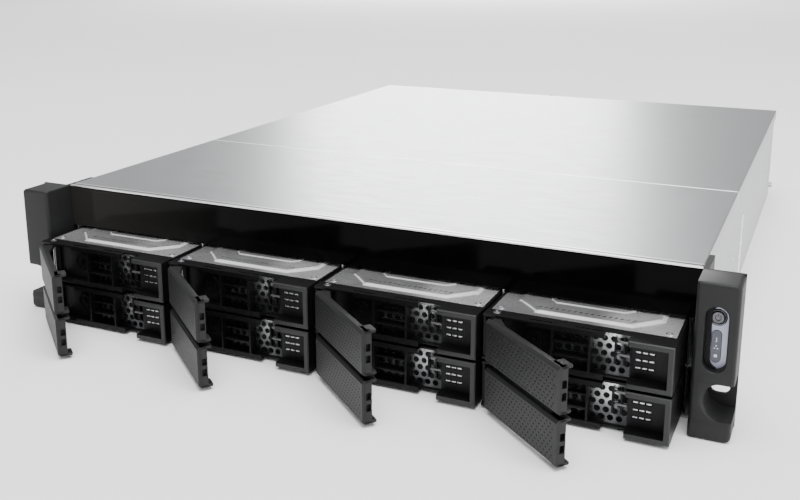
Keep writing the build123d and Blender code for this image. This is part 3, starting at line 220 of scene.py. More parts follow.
class ServerColours(bpy.types.PropertyGroup):
    """Colours of the main finishes."""

    cover: coloured("Covers", "Zinc coated sheet", (0.36, 0.367, 0.378))
    charcoal: coloured("Levers and ears", "Charcoal plastic", (0.009, 0.0091, 0.0094))
    black: coloured("Trays", "Black plastic", (0.003, 0.003, 0.0032))
    lid: coloured("Drive lids", "Bright stamped metal", (0.62, 0.62, 0.63))
    panel: coloured("Status panel", "Silver with a lavender cast", (0.36, 0.37, 0.47))


# Shader node helpers
def join(tree, node, inputs):
    """Links each input that is given as a socket and sets any other to its value; returns the node."""
    for key, value in inputs.items():
        if isinstance(value, bpy.types.NodeSocket):
            tree.links.new(value, node.inputs[key])
        else:
            node.inputs[key].default_value = value
    return node


def add_node(tree, kind, inputs=None, **settings):
    """Adds a shader node with its settings and inputs."""
    node = tree.nodes.new("ShaderNode" + kind)
    for key, value in settings.items():
        setattr(node, key, value)
    return join(tree, node, inputs or {})


def calculate(tree, operation, *values, kind="Math", **settings):
    """Result of a Math or VectorMath node on its values; returns the socket."""
    return add_node(tree, kind, dict(enumerate(values)), operation=operation, **settings).outputs[0]


def remap(tree, value, start, end, low, high, curve="LINEAR"):
    """Maps a value from start..end to low..high; returns the socket."""
    inputs = {0: value, 1: start, 2: end, 3: low, 4: high}
    return add_node(tree, "MapRange", inputs, interpolation_type=curve).outputs[0]


def add_noise(tree, place, scale, detail=2.0):
    """Noise over a place; returns the value socket."""
    return add_node(tree, "TexNoise", {"Vector": place, "Scale": scale, "Detail": detail}).outputs[0]


def blend_colours(tree, factor, first, second):
    """Mix of two colours by a factor; returns the colour socket."""
    return add_node(tree, "Mix", {0: factor, 6: first, 7: second}, data_type="RGBA").outputs[2]


def start_group(name, inputs, outputs):
    """Shader node group that reads a Vector and the named inputs.

    Returns the tree, the sockets of what is given, and the node that takes what it puts out."""
    tree = bpy.data.node_groups.new(name, "ShaderNodeTree")
    for label, kind, default in (("Vector", "Vector", (0, 0, 0)), *inputs):
        socket = tree.interface.new_socket(name=label, in_out="INPUT", socket_type="NodeSocket" + kind)
        socket.default_value = default
    for label, kind in outputs:
        tree.interface.new_socket(name=label, in_out="OUTPUT", socket_type="NodeSocket" + kind)
    return tree, tree.nodes.new("NodeGroupInput").outputs, tree.nodes.new("NodeGroupOutput")


def make_grain_group():
    """Directional or even grain: noise on stretched coordinates drives colour, roughness and height."""
    tree, given, out = start_group(
        "surface_grain",
        [("Stretch", "Vector", (1, 1, 1)), ("Scale", "Float", 500.0),
         ("Light", "Color", (1, 1, 1, 1)), ("Dark", "Color", (0, 0, 0, 1)),
         ("Smooth", "Float", 0.3), ("Rough", "Float", 0.5)],
        [("Color", "Color"), ("Roughness", "Float"), ("Height", "Float")])
    stretched = calculate(tree, "MULTIPLY", given["Vector"], given["Stretch"], kind="VectorMath")
    height = add_noise(tree, stretched, given["Scale"], 3.0)
    light = remap(tree, height, 0.3, 0.7, 0.0, 1.0)
    join(tree, out, {
        "Color": blend_colours(tree, light, given["Dark"], given["Light"]),
        "Roughness": remap(tree, height, 0.3, 0.7, given["Smooth"], given["Rough"]), "Height": height})
    return tree


def make_wear_group():
    """Broad uneven patches: handling marks on most finishes, painted reflection clouds on the drives' lids; a
    soft mask, small specks added by a finer noise.
    """
    tree, given, out = start_group(
        "handling_wear",
        [("Patch Scale", "Float", 12.0), ("Speck Scale", "Float", 180.0), ("Amount", "Float", 0.3)],
        [("Mask", "Float")])
    patches = remap(tree, add_noise(tree, given["Vector"], given["Patch Scale"]), 0.35, 0.7, 0.0, 1.0)
    specks = remap(tree, add_noise(tree, given["Vector"], given["Speck Scale"]), 0.55, 0.72, 0.0, 1.0)
    both = calculate(tree, "MULTIPLY_ADD", specks, 0.35, patches)
    join(tree, out, {"Mask": calculate(tree, "MULTIPLY", both, given["Amount"], use_clamp=True)})
    return tree


def make_spangle_group():
    """Zinc spangle: cells of slightly different tone, as crystals on galvanised sheet."""
    tree, given, out = start_group(
        "zinc_spangle", [("Scale", "Float", 160.0), ("Amount", "Float", 0.3)], [("Mask", "Float")])
    cells = add_node(tree, "TexVoronoi", {"Vector": given["Vector"], "Scale": given["Scale"]})
    shades = add_node(tree, "SeparateColor", {0: cells.outputs["Color"]})
    join(tree, out, {"Mask": calculate(tree, "MULTIPLY", shades.outputs[0], given["Amount"])})
    return tree


def band(tree, value, centre, half, soft):
    """Mask of 1 within half of a centre, smoothly down to 0 over soft; returns the value socket."""
    away = calculate(tree, "ABSOLUTE", calculate(tree, "SUBTRACT", value, centre * MM))
    return remap(tree, away, half * MM, (half + soft) * MM, 1.0, 0.0, "SMOOTHSTEP")


def make_painted_line_group():
    """Painted light lines across the covers: painted highlights near the rolled front edge and at the seam,
    and thin painted shadows, at fixed depths along Y.

    Each mask is the greatest of its lines, and a line is a band times its strength."""
    tree, given, out = start_group("painted_light_lines", [], [("Bright", "Float"), ("Dark", "Float")])
    depth = add_node(tree, "SeparateXYZ", {0: given["Vector"]}).outputs["Y"]
    for label, lines in (("Bright", PAINTED_HIGHLIGHT_LINES), ("Dark", PAINTED_SHADOW_LINES)):
        mask = 0.0
        for middle, half, soft, strength in lines:
            line = calculate(tree, "MULTIPLY", band(tree, depth, middle, half, soft), strength)
            mask = calculate(tree, "MAXIMUM", line, mask)
        join(tree, out, {label: mask})
    return tree


def make_sheen_group():
    """Sheen of the perforated plates and the drives' lids: brighter to the right and top of each tray.

    The place within a tray is the fraction of (place - origin) / pitch; the mask is the product of a
    smooth rise along X, a fall at End, a smooth rise along Z and a slow rise over the server's width."""
    tree, given, out = start_group(
        "tray_sheen",
        [("Origin", "Vector", (0, 0, 0)), ("Pitch", "Vector", (1, 1, 1)), ("End", "Float", 2.0)],
        [("Mask", "Float")])
    offset = calculate(tree, "SUBTRACT", given["Vector"], given["Origin"], kind="VectorMath")
    cells = calculate(tree, "DIVIDE", offset, given["Pitch"], kind="VectorMath")
    within = calculate(tree, "FRACTION", cells, kind="VectorMath")
    across, _, up = add_node(tree, "SeparateXYZ", {0: within}).outputs
    width = add_node(tree, "SeparateXYZ", {0: given["Vector"]}).outputs["X"]
    past = calculate(tree, "SUBTRACT", across, given["End"])
    mask = remap(tree, across, 0.55, 0.69, 0.0, 1.0, "SMOOTHSTEP")
    for value, start, end, low, high in ((past, 0.0, 0.03, 1.0, 0.04), (up, 0.3, 0.85, 0.06, 1.0),
                                         (width, -0.2, 0.12, 0.4, 1.0)):
        mask = calculate(tree, "MULTIPLY", mask, remap(tree, value, start, end, low, high, "SMOOTHSTEP"))
    join(tree, out, {"Mask": mask})
    return tree


GROUPS = {}
FINISHES = {}


def place_group(tree, label, inputs):
    """Places one of the shared groups in a material's tree with its own values; returns its outputs."""
    return add_node(tree, "Group", inputs, node_tree=GROUPS[label]).outputs


def tone(colour, factor):
    """Colour scaled in brightness, with an alpha of one."""
    return (*(min(1.0, channel * factor) for channel in colour[:3]), 1.0)


def tray_grid():
    """Right edge of the first column and underside of the lower row, and the pitch, in metres.

    The pitch along Y is so long that nothing repeats that way."""
    first, below, beside = (node_box(f"tray_{number}_carrier") for number in (1, 2, 3))
    pitch = (beside[1][0] - first[1][0], 1000.0, first[0][2] - below[0][2])
    return np.array([first[1][0], 0.0, below[0][2]]) * MM, np.array(pitch) * MM


def make_finish(name, colour, metallic, smooth, rough, scale, stretch=(1, 1, 1), contrast=0.12, bump=0.1,
                wear=0.25, wear_tone=1.5, patch=12.0, spangle=0.0, coat=0.0, specular=0.5, folds=False,
                sheen=None, sheen_end=2.0, left_reflection=None):
    """Material from the shared groups on Object coordinates.

    With folds, painted highlight and shadow lines cross the sheet. Sheen is the colour of the painted sheen
    towards which a tray's plate or lid brightens up to the share sheen_end of the tray's pitch, and
    left_reflection that of the painted reflection at the bezel's left end."""
    material = bpy.data.materials.new(name)
    material.use_nodes = True
    tree = material.node_tree
    tree.nodes.clear()
    place = add_node(tree, "TexCoord").outputs["Object"]
    grain = place_group(tree, "grain", {
        "Vector": place, "Stretch": stretch, "Scale": scale, "Light": tone(colour, 1 + contrast),
        "Dark": tone(colour, 1 - contrast), "Smooth": smooth, "Rough": rough})
    # Patches of a second tone: handling marks on most finishes, painted reflection clouds on the drives' lids
    wear_and_cloud_mask = place_group(tree, "wear", {"Vector": place, "Patch Scale": patch, "Amount": wear})
    shade = blend_colours(tree, wear_and_cloud_mask["Mask"], grain["Color"], tone(colour, wear_tone))
    if spangle:
        cells = place_group(tree, "spangle", {"Vector": place, "Amount": spangle})
        shade = blend_colours(tree, cells["Mask"], shade, tone(colour, 1.25))
    if folds:
        # Painted shadow lines darken the sheet to a dark grey, and painted highlight lines brighten it to
        # near white
        lines = place_group(tree, "folds", {"Vector": place})
        shade = blend_colours(tree, lines["Dark"], shade, tone(colour, 0.2))
        shade = blend_colours(tree, lines["Bright"], shade, (0.95, 0.95, 0.95, 1))
    if sheen:
        origin, pitch = tray_grid()
        lit = place_group(tree, "sheen", {
            "Vector": place, "Origin": origin, "Pitch": pitch, "End": sheen_end})
        shade = blend_colours(tree, lit["Mask"], shade, tone(sheen, 1))
    # Painted reflection: the colour lightens smoothly towards the left end, as on the bezel
    if left_reflection:
        across = add_node(tree, "SeparateXYZ", {0: place}).outputs["X"]
        left = remap(tree, across, -0.26, -0.04, 1.0, 0.0, "SMOOTHSTEP")
        shade = blend_colours(tree, left, shade, tone(left_reflection, 1))
    height = add_node(tree, "Bump", {"Strength": bump, "Distance": 0.0002, "Height": grain["Height"]})
    shader = add_node(tree, "BsdfPrincipled", {
        "Base Color": shade, "Metallic": metallic, "Roughness": grain["Roughness"],
        "Normal": height.outputs[0], "Coat Weight": coat, "Coat Roughness": 0.03,
        "Specular IOR Level": specular})
    add_node(tree, "OutputMaterial", {0: shader.outputs[0]})
    FINISHES[name] = material


def make_finishes(colours):
    """All materials of the server, one call for each finish."""
    GROUPS.update(grain=make_grain_group(), wear=make_wear_group(), spangle=make_spangle_group(),
                  folds=make_painted_line_group(), sheen=make_sheen_group())
    cover, charcoal, black = colours.cover[:], colours.charcoal[:], colours.black[:]
    make_finish("cover_steel", cover, 0.9, 0.30, 0.42, 900.0, (0.05, 1.0, 1.0), contrast=0.05, bump=0.06,
                wear=0.12, wear_tone=1.12, spangle=0.12, folds=True)
    make_finish("galvanised_steel", (0.44, 0.445, 0.455), 0.85, 0.36, 0.50, 700.0, (1.0, 0.08, 1.0),
                contrast=0.07, bump=0.08, wear=0.2, wear_tone=1.15, spangle=0.25)
    make_finish("cage_steel", (0.62, 0.63, 0.65), 0.9, 0.25, 0.42, 800.0, (1.0, 0.1, 1.0), bump=0.08,
                spangle=0.2)
    make_finish("supply_steel", (0.56, 0.57, 0.58), 0.85, 0.34, 0.5, 700.0, (0.1, 1.0, 1.0), contrast=0.08,
                bump=0.08, spangle=0.2)
    # The bezel lightens towards its left end: a painted reflection
    make_finish("bezel_gloss", (0.0012, 0.0012, 0.0013), 0.0, 0.08, 0.14, 60.0, contrast=0.3, bump=0.0,
                wear=0.1, wear_tone=1.6, specular=0.035, left_reflection=(0.022, 0.021, 0.020))
    make_finish("ear_plastic", charcoal, 0.0, 0.45, 0.6, 2600.0, contrast=0.1, bump=0.25, wear=0.15,
                wear_tone=1.25, specular=0.3)
    make_finish("lever_plastic", charcoal, 0.0, 0.42, 0.58, 2600.0, bump=0.22, wear=0.2, wear_tone=1.3,
                specular=0.3)
    make_finish("rim_plastic", tone(charcoal, 2.0), 0.0, 0.4, 0.52, 2600.0, contrast=0.1, bump=0.2,
                specular=0.3)
    make_finish("tray_plastic", black, 0.0, 0.38, 0.55, 2400.0, contrast=0.14, bump=0.2, wear_tone=1.6,
                specular=0.2)
    make_finish("bracket_black", (0.012, 0.012, 0.0125), 0.0, 0.45, 0.6, 1800.0, contrast=0.15, bump=0.2,
                specular=0.2)
    make_finish("shield_steel", (0.035, 0.036, 0.038), 0.9, 0.2, 0.34, 200.0, contrast=0.08, bump=0.02,
                wear=0.3, sheen=(0.9, 0.91, 0.92), sheen_end=0.705)
    make_finish("spring_steel", (0.5, 0.5, 0.52), 0.9, 0.2, 0.34, 900.0, contrast=0.5, bump=0.02)
    # The drives' lids: lighter patches as painted reflection clouds, and painted sheen towards the right and
    # top of each tray
    make_finish("drive_aluminium", tone(colours.lid, 0.72), 0.8, 0.2, 0.3, 60.0, contrast=0.06, bump=0.0,
                wear=0.9, wear_tone=1.25, patch=26.0, sheen=(0.97, 0.97, 0.97))
    # Lit and shaded copies of the lid's finish: painted highlight and painted shade on its slopes
    make_finish("lid_painted_highlight", tone(colours.lid, 1.35), 0.5, 0.2, 0.3, 60.0, contrast=0.03, bump=0.0)
    make_finish("lid_painted_shade", tone(colours.lid, 0.3), 0.6, 0.25, 0.35, 60.0, contrast=0.05, bump=0.0)
    make_finish("drive_casting", (0.03, 0.03, 0.032), 0.4, 0.45, 0.6, 900.0, contrast=0.15, bump=0.2,
                specular=0.3)
    make_finish("latch_grey", (0.11, 0.11, 0.115), 0.5, 0.3, 0.42, 900.0, bump=0.05)
    make_finish("pin_steel", (0.22, 0.22, 0.23), 0.9, 0.25, 0.4, 1500.0, bump=0.08)
    make_finish("screw_steel", (0.62, 0.62, 0.64), 0.95, 0.2, 0.35, 1500.0, bump=0.08)
    make_finish("button_metal", (0.10, 0.10, 0.11), 0.9, 0.16, 0.3, 1400.0, bump=0.05)
    make_finish("panel_silver", colours.panel[:], 0.3, 0.3, 0.42, 1800.0, contrast=0.06, bump=0.05)
    make_finish("panel_slate", (0.045, 0.05, 0.075), 0.1, 0.12, 0.2, 900.0, contrast=0.1, bump=0.02, coat=0.4)
    make_finish("sign_white", (0.75, 0.77, 0.82), 0.0, 0.4, 0.5, 1500.0, contrast=0.05, bump=0.02)
    # Near-white finish for painted highlights: the strip in the covers' seam and the bead on the case's sides
    make_finish("hem_bright", (0.86, 0.87, 0.88), 0.5, 0.2, 0.3, 300.0, (0.05, 1.0, 1.0), contrast=0.03,
                bump=0.0)
    make_finish("circuit_board", (0.012, 0.07, 0.035), 0.1, 0.3, 0.45, 300.0, contrast=0.3, bump=0.15,
                wear=0.35, wear_tone=2.2)
    make_finish("fan_plastic", (0.014, 0.014, 0.015), 0.0, 0.35, 0.5, 1800.0, contrast=0.15)
    make_finish("sink_aluminium", (0.70, 0.71, 0.72), 0.95, 0.3, 0.42, 700.0, (0.1, 0.1, 1.0), bump=0.08)
    make_finish("socket_steel", (0.66, 0.66, 0.68), 0.95, 0.22, 0.36, 1200.0, bump=0.05)
    make_finish("dark_insert", (0.003, 0.003, 0.0033), 0.0, 0.45, 0.6, 1500.0, contrast=0.2, specular=0.15)
    make_finish("contact_gold", (0.75, 0.5, 0.18), 0.95, 0.2, 0.32, 1500.0, bump=0.04)


# Mesh helpers
class Shape:
    """Points in millimetres and polygons, gathered from several closed surfaces."""

    def __init__(self, *surface, look=0):
        self.points = []
        self.faces = []
        self.looks = []
        self.count = 0
        if surface:
            self.add(*surface, look=look)

    def add(self, points, *faces, look=0):
        """Adds one surface; look is the number of its finish, or one number for each face array."""
        points = np.asarray(points, float).reshape(-1, 3)
        self.points.append(points)
        self.faces.extend(np.asarray(face, int) + self.count for face in faces)
        self.looks.extend(np.broadcast_to(look, len(faces)))
        self.count += len(points)
        return self

    def slab(self, outline, start, end, lay, radius=0.3, steps=3, corner=0.0, look=0):
        """Adds a soft slab of an outline, or of the rectangle between four given sides."""
        if np.ndim(outline) == 1:
            outline = rectangle(*outline)
        if corner:
            outline = softened_outline(outline, corner)
        return self.add(*soft_slab(outline, start, end, lay, radius, steps), look=look)

    def moved(self, change):
        """The same shape with a function of (n, 3) points applied."""
        self.points = [change(points) for points in self.points]
        return self


def ring_quads(rings, around):
    """Quads between successive closed rings of a grid with rings x around points."""
    i = np.arange(rings - 1)[:, None] * around
    j = np.arange(around)[None, :]
    k = (j + 1) % around
    return np.stack([i + j, i + k, i + around + k, i + around + j], -1).reshape(-1, 4)


def loft(rings):
    """Closed surface through rings (m, n, 3), with a polygon over the first and the last one."""
    count, around = rings.shape[:2]
    first = np.arange(around)[None, ::-1]
    last = (np.arange(around) + (count - 1) * around)[None, :]
    return rings, ring_quads(count, around), first, last


def circle(radius, steps, centre=(0, 0)):
    """Points (n, 2) of a circle: centre + radius (cos a, sin a)."""
    a = np.arange(steps) * 2 * np.pi / steps
    return np.stack([centre[0] + radius * np.cos(a), centre[1] + radius * np.sin(a)], -1)


def softened_outline(corners, radius, steps=4):
    """Closed outline whose corners are quadratic curves from one side to the next.

    Each curve is (1-s)^2 A + 2 s (1-s) P + s^2 B, with A and B at radius from the corner P, or half
    way along a side that is shorter than twice the radius."""
    corners = np.asarray(corners, float)
    radius = np.broadcast_to(np.asarray(radius, float), len(corners))[:, None]

    def reach(step):
        """Point towards the neighbour that lies step places back in the outline."""
        side = np.roll(corners, step, 0) - corners
        span = np.linalg.norm(side, axis=1, keepdims=True)
        return corners + side / span * np.minimum(radius, span / 2)

    s = np.linspace(0, 1, steps + 1)[None, :, None]
    a, b = reach(1)[:, None], reach(-1)[:, None]
    return ((1 - s) ** 2 * a + 2 * s * (1 - s) * corners[:, None] + s ** 2 * b).reshape(-1, 2)


def rectangle(x0, x1, z0, z1):
    """Corners (4, 2) of a rectangle, anticlockwise."""
    return np.array([(x0, z0), (x1, z0), (x1, z1), (x0, z1)], float)


def stadium(length, width, steps=16):
    """Upright slot outline: two half circles of half the width, joined by straight sides."""
    r = width / 2
    a = np.linspace(0, np.pi, steps)
    top = np.stack([r * np.cos(a), length / 2 - r + r * np.sin(a)], -1)
    return np.concatenate([top, -top])


def inset(outline, amount):
    """Outline moved inwards along its own normals by amount."""
    tangent = np.roll(outline, -1, 0) - np.roll(outline, 1, 0)
    tangent /= np.maximum(np.linalg.norm(tangent, axis=1, keepdims=True), 1e-9)
    normal = np.stack([-tangent[:, 1], tangent[:, 0]], -1)
    x, y = outline.T
    area = np.sum(x * np.roll(y, -1) - np.roll(x, -1) * y)
    return outline + normal * amount * (1 if area > 0 else -1)


def to_front(outline, y):
    """Outline in X and Z set at depth y."""
    return np.stack([outline[:, 0], np.full(len(outline), float(y)), outline[:, 1]], -1)


def to_level(outline, z):
    """Outline in X and Y set at height z."""
    return np.column_stack([outline, np.full(len(outline), float(z))])


def to_side(outline, x):
    """Outline in Y and Z set at place x."""
    return np.column_stack([np.full(len(outline), float(x)), outline])


def soft_slab(outline, start, end, lay, radius, steps):
    """Closed slab between two depths, its rims rounded by a quarter circle.

    A ring at angle t is the outline inset by r (1 - sin t) at depth start + r (1 - cos t), and the
    same rings mirrored close the end."""
    t = np.linspace(0, np.pi / 2, steps + 1)
    shrink = radius * (1 - np.sin(t))
    into = radius * (1 - np.cos(t)) * (1 if end > start else -1)
    rings = [lay(inset(outline, amount), depth)
             for amount, depth in zip([*shrink, *shrink[::-1]], [*(start + into), *(end - into[::-1])])]
    return loft(np.stack(rings))


def pierced_slab(outer, holes, start, end, lay):
    """Closed flat slab with holes: both faces triangulated, a wall along each outline."""
    loops = [outer, *holes]
    triangles = np.array(tessellate_polygon([[Vector((*p, 0)) for p in loop] for loop in loops]))
    flat = np.concatenate(loops)
    points = np.concatenate([lay(flat, start), lay(flat, end)])
    count = len(flat)
    walls = []
    first = 0
    for loop in loops:
        i = first + np.arange(len(loop))
        j = first + (np.arange(len(loop)) + 1) % len(loop)
        walls.append(np.stack([i, j, j + count, i + count], -1))
        first += len(loop)
    return points, triangles, triangles[:, ::-1] + count, np.concatenate(walls)


def round_rings(radius, height):
    """Closed surface about Z: ring i lies at height[i], and its point j at radius[i, j] and angle j."""
    a = np.arange(radius.shape[1]) * 2 * np.pi / radius.shape[1]
    return loft(np.stack([radius * np.cos(a), radius * np.sin(a), height[:, None] + 0 * a], -1))


def turned(profile, steps):
    """Surface of revolution about Z: its rings are the profile's rows, and both ends are closed."""
    radius, height = np.array(profile).T
    return round_rings(np.repeat(radius[:, None], steps, 1), height)


def hoop(profile, steps):
    """Surface of revolution about Z whose last profile row joins the first."""
    rings, quads, first, last = turned(profile, steps)
    i, j = first[0, ::-1], last[0]
    return rings, quads, np.stack([i, np.roll(i, -1), np.roll(j, -1), j], -1)


def facing(centre, along=-1):
    """Change that turns a shape built about Z to face the front, or the back with along = 1, and moves it."""
    def change(points):
        x, y, z = points.T
        return np.stack([x + centre[0], centre[1] + along * z, y + centre[2]], -1)
    return change


def shifted(offset):
    """Change that moves a shape."""
    return lambda points: points + np.asarray(offset, float)


def tray_place(number):
    """Change from a tray's own frame to the row frame, from the carrier's corners."""
    low, high = node_box(f"tray_{number}_carrier")
    return shifted((high[0], low[1], low[2]))


def swing_open(points):
    """Turns lever points about the hinge pin to the lever's place at rest."""
    x, y = points[:, 0] - PIN_X, points[:, 1] - PIN_Y
    c, s = math.cos(LEVER_OPEN), math.sin(LEVER_OPEN)
    return np.stack([PIN_X + c * x - s * y, PIN_Y + s * x + c * y, points[:, 2]], -1)


def ramp(distance, start, width):
    """Smooth step from 0 to 1 as distance runs from start to start + width."""
    s = np.clip((distance - start) / width, 0, 1)
    return s * s * (3 - 2 * s)


# Pieces
def add_object(name, data):
    """New object in the scene."""
    item = bpy.data.objects.new(name, data)
    bpy.context.scene.collection.objects.link(item)
    return item


def add_edge_round(piece, width):
    """Bevel modifier on the sharp edges only."""
    edge = piece.modifiers.new("Edge", "BEVEL")
    edge.width = width * MM
    edge.segments = 2
    edge.limit_method = "ANGLE"
    edge.angle_limit = math.radians(40)
    edge.harden_normals = True


def build_mesh(name, shape, finish):
    """Mesh of a shape with its normals outwards.

    The finish is one name, or a tuple of names that the shape's looks count through."""
    points = np.concatenate(shape.points) * MM
    corners = np.concatenate([face.ravel() for face in shape.faces])
    sizes = np.concatenate([np.full(len(face), face.shape[1]) for face in shape.faces])
    looks = np.concatenate([np.full(len(face), look) for face, look in zip(shape.faces, shape.looks)])
    mesh = bpy.data.meshes.new(name)
    mesh.vertices.add(len(points))
    mesh.vertices.foreach_set("co", points.astype(np.float32).ravel())
    mesh.loops.add(len(corners))
    mesh.loops.foreach_set("vertex_index", corners.astype(np.int32))
    mesh.polygons.add(len(sizes))
    mesh.polygons.foreach_set("loop_start", (np.cumsum(sizes) - sizes).astype(np.int32))
    mesh.polygons.foreach_set("loop_total", sizes.astype(np.int32))
    mesh.polygons.foreach_set("material_index", looks.astype(np.int32))
    for label in (finish,) if isinstance(finish, str) else finish:
        mesh.materials.append(FINISHES[label])
    mesh.update(calc_edges=True)
    work = bmesh.new()
    work.from_mesh(mesh)
    bmesh.ops.recalc_face_normals(work, faces=work.faces)
    work.to_mesh(mesh)
    work.free()
    return mesh


def place_mesh(name, mesh, body, slot, *nodes):
    """Piece of a mesh, smooth up to an angle, that rides on a body and stands for the CAD nodes named."""
    mesh.polygons.foreach_set("use_smooth", np.ones(len(mesh.polygons), bool))
    mesh.set_sharp_from_angle(angle=SHARP_ANGLE)
    piece = add_object(name, mesh)
    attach(piece, body)
    if nodes:
        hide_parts(*nodes)
    return piece


def make_piece(name, shape, finish, body, slot, *nodes):
    """Piece of a shape, which rides on a body and stands for the CAD nodes named."""
    return place_mesh(name, build_mesh(name, shape, finish), body, slot, *nodes)


def make_tray_piece(number, label, shape, finish, slot, *nodes):
    """Piece of one tray, of a shape in the tray's own frame."""
    shape.moved(tray_place(number))
    make_piece(f"tray_{number}_{label}", shape, finish, f"tray_{number}", slot, *nodes)


def soften_node(node, finish, width, second=None, chosen=None):
    """Copy of a CAD node with its seams merged and its edges rounded, shown in its place.

    Faces whose centres and normals (n, 3) the function chosen picks take the second finish."""
    source = frame["nodes"][node]
    mesh = source.data.copy()
    mesh.name = f"{node}_finished"
    work = bmesh.new()
    work.from_mesh(mesh)
    bmesh.ops.remove_doubles(work, verts=work.verts, dist=0.001 * MM)
    bmesh.ops.dissolve_limit(work, angle_limit=math.radians(0.5), verts=work.verts, edges=work.edges)
    work.to_mesh(mesh)
    work.free()
    mesh.materials.clear()
    mesh.materials.append(FINISHES[finish])
    if second:
        mesh.materials.append(FINISHES[second])
        centres, normals = (np.empty(3 * len(mesh.polygons), np.float32) for _ in range(2))
        mesh.polygons.foreach_get("center", centres)
        mesh.polygons.foreach_get("normal", normals)
        picked = chosen(centres.reshape(-1, 3) / MM, normals.reshape(-1, 3))
        mesh.polygons.foreach_set("material_index", picked.astype(np.int32))
    piece = place_mesh(mesh.name, mesh, source["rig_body"], NODE_SLOTS[node], node)
    add_edge_round(piece, width)


def lever_channel(sizes):
    """Channel of a lever: closed C profile carried along X, its outer face dimpled.

    The dimple at distance d from its centre is depth (1 - (d / r)^2)^1.5 deep; centres lie on a grid
    whose every second row is shifted by half a pitch. The profile is the face's fine row of points and
    a softened outline without its first and last corner, where the face begins and ends. Quads with over
    0.3 of a dimple's depth come apart from the others, for their own finish: painted shade in the hollows."""
    face_low, face_high = LEVER_LOW + LEVER_BEVEL, LEVER_HIGH - LEVER_BEVEL
    z = np.linspace(face_low, face_high, 88)
    outer = np.stack([np.zeros_like(z), z], -1)
    inner = softened_outline([
        (0, face_high), (LEVER_BEVEL, LEVER_HIGH), (LEVER_DEPTH, LEVER_HIGH),
        (LEVER_DEPTH, LEVER_HIGH - LEVER_FLANGE), (LEVER_PLATE, LEVER_HIGH - LEVER_FLANGE),
        (LEVER_PLATE, LEVER_LOW + LEVER_FLANGE), (LEVER_DEPTH, LEVER_LOW + LEVER_FLANGE),
        (LEVER_DEPTH, LEVER_LOW), (LEVER_BEVEL, LEVER_LOW), (0, face_low)],
        [0.0, 0.35, 0.35, 0.35, 0.5, 0.5, 0.35, 0.35, 0.35, 0.0], 2)[3:-3]
    profile = np.concatenate([outer, inner])
    x = np.linspace(LEVER_LEFT, LEVER_RIGHT, 278)[:, None] + 0 * profile[:, 0]
    y, z = (profile[:, axis] + 0 * x for axis in (0, 1))
    pitch, row_pitch = sizes.mm("dimple_pitch"), sizes.mm("dimple_row")
    row = np.round((z - TRAY_HEIGHT / 2) / row_pitch)
    along = (x - (LEVER_LEFT + LEVER_RIGHT) / 2) / pitch + 0.5 * np.mod(row, 2)
    off_x = (along - np.round(along)) * pitch
    off_z = z - TRAY_HEIGHT / 2 - row * row_pitch
    cup = np.clip(1 - (off_x ** 2 + off_z ** 2) / sizes.mm("dimple_radius") ** 2, 0, 1) ** 1.5
    inside = (x > LEVER_LEFT + DIMPLE_MARGIN_X) & (x < LEVER_RIGHT - DIMPLE_MARGIN_X)
    inside &= np.abs(z - TRAY_HEIGHT / 2) < (face_high - face_low) / 2 - DIMPLE_MARGIN_Z
    inside[:, len(outer):] = False
    cup = np.where(inside, cup, 0)
    points, quads, first, last = loft(np.stack([x, y + sizes.mm("dimple_depth") * cup, z], -1))
    deep = cup.ravel()[quads].mean(1) > 0.3
    return points, quads[~deep], quads[deep], first, last


def hinge_ear():
    """Outline of a hinge ear: an arc round the pin and a tongue along the lever's inner face."""
    around = circle(HINGE_EAR_RADIUS, 40, (PIN_X, PIN_Y))
    arc = around[(around[:, 1] > PIN_Y - 1.0) | (around[:, 0] < PIN_X - 1.5)]
    order = np.argsort(np.arctan2(arc[:, 1] - PIN_Y, arc[:, 0] - PIN_X) % (2 * np.pi))
    return np.concatenate([
        arc[order], [(LEVER_LEFT, 1.0), (HINGE_EAR_END, 1.0), (HINGE_EAR_END, LEVER_DEPTH)]])


def make_lever(number, sizes):
    """Lever: dimpled channel, end wall with two windows, hooks and hinge ears round the pin, with painted
    shade in the dimples' hollows and behind the windows.
    """
    # Look 1 takes the near-black finish: painted shade in the dimples' hollows
    shape = Shape(*lever_channel(sizes), look=(0, 1, 0, 0))
    wall = softened_outline(rectangle(LEVER_BEVEL, END_WALL_DEPTH, LEVER_LOW, LEVER_HIGH), 0.3)
    windows = [softened_outline(rectangle(*END_WINDOW_Y, z - END_WINDOW_HALF, z + END_WINDOW_HALF), 0.5)
               for z in END_WINDOWS_Z]
    wall_left = LEVER_RIGHT - END_WALL_THICKNESS
    shape.add(*pierced_slab(wall, windows, wall_left, LEVER_RIGHT, to_side))
    # Near-black backing just behind the end wall, seen through its windows: painted shade
    shape.slab((LEVER_PLATE, 5.6, *END_BACKING_Z), wall_left - 0.8, wall_left, to_side, 0.1, 1, look=1)
    shape.slab((LEVER_BEVEL, LEVER_DEPTH, LEVER_LOW, LEVER_HIGH), LEVER_LEFT, LEVER_LEFT + LEVER_FLANGE,
               to_side, 0.15, corner=0.3)
    for low in (LEVER_LOW, LEVER_HIGH - LEVER_FLANGE):
        shape.slab((LEVER_RIGHT - HOOK_LENGTH, LEVER_RIGHT, LEVER_PLATE, HOOK_DEPTH), low, low + LEVER_FLANGE,
                   to_level, 0.25, corner=0.9)
    bore = circle(PIN_BORE, 24, (PIN_X, PIN_Y))
    for low in HINGE_EARS_Z:
        shape.add(*pierced_slab(hinge_ear(), [bore], low, low + HINGE_EAR_THICKNESS, to_level))
    shape.moved(swing_open).moved(tray_place(number))
    make_piece(f"lever_{number}_dimpled", shape, ("lever_plastic", "dark_insert"), f"lever_{number}",
               "lever_plastic", f"tray_{number}_lever")


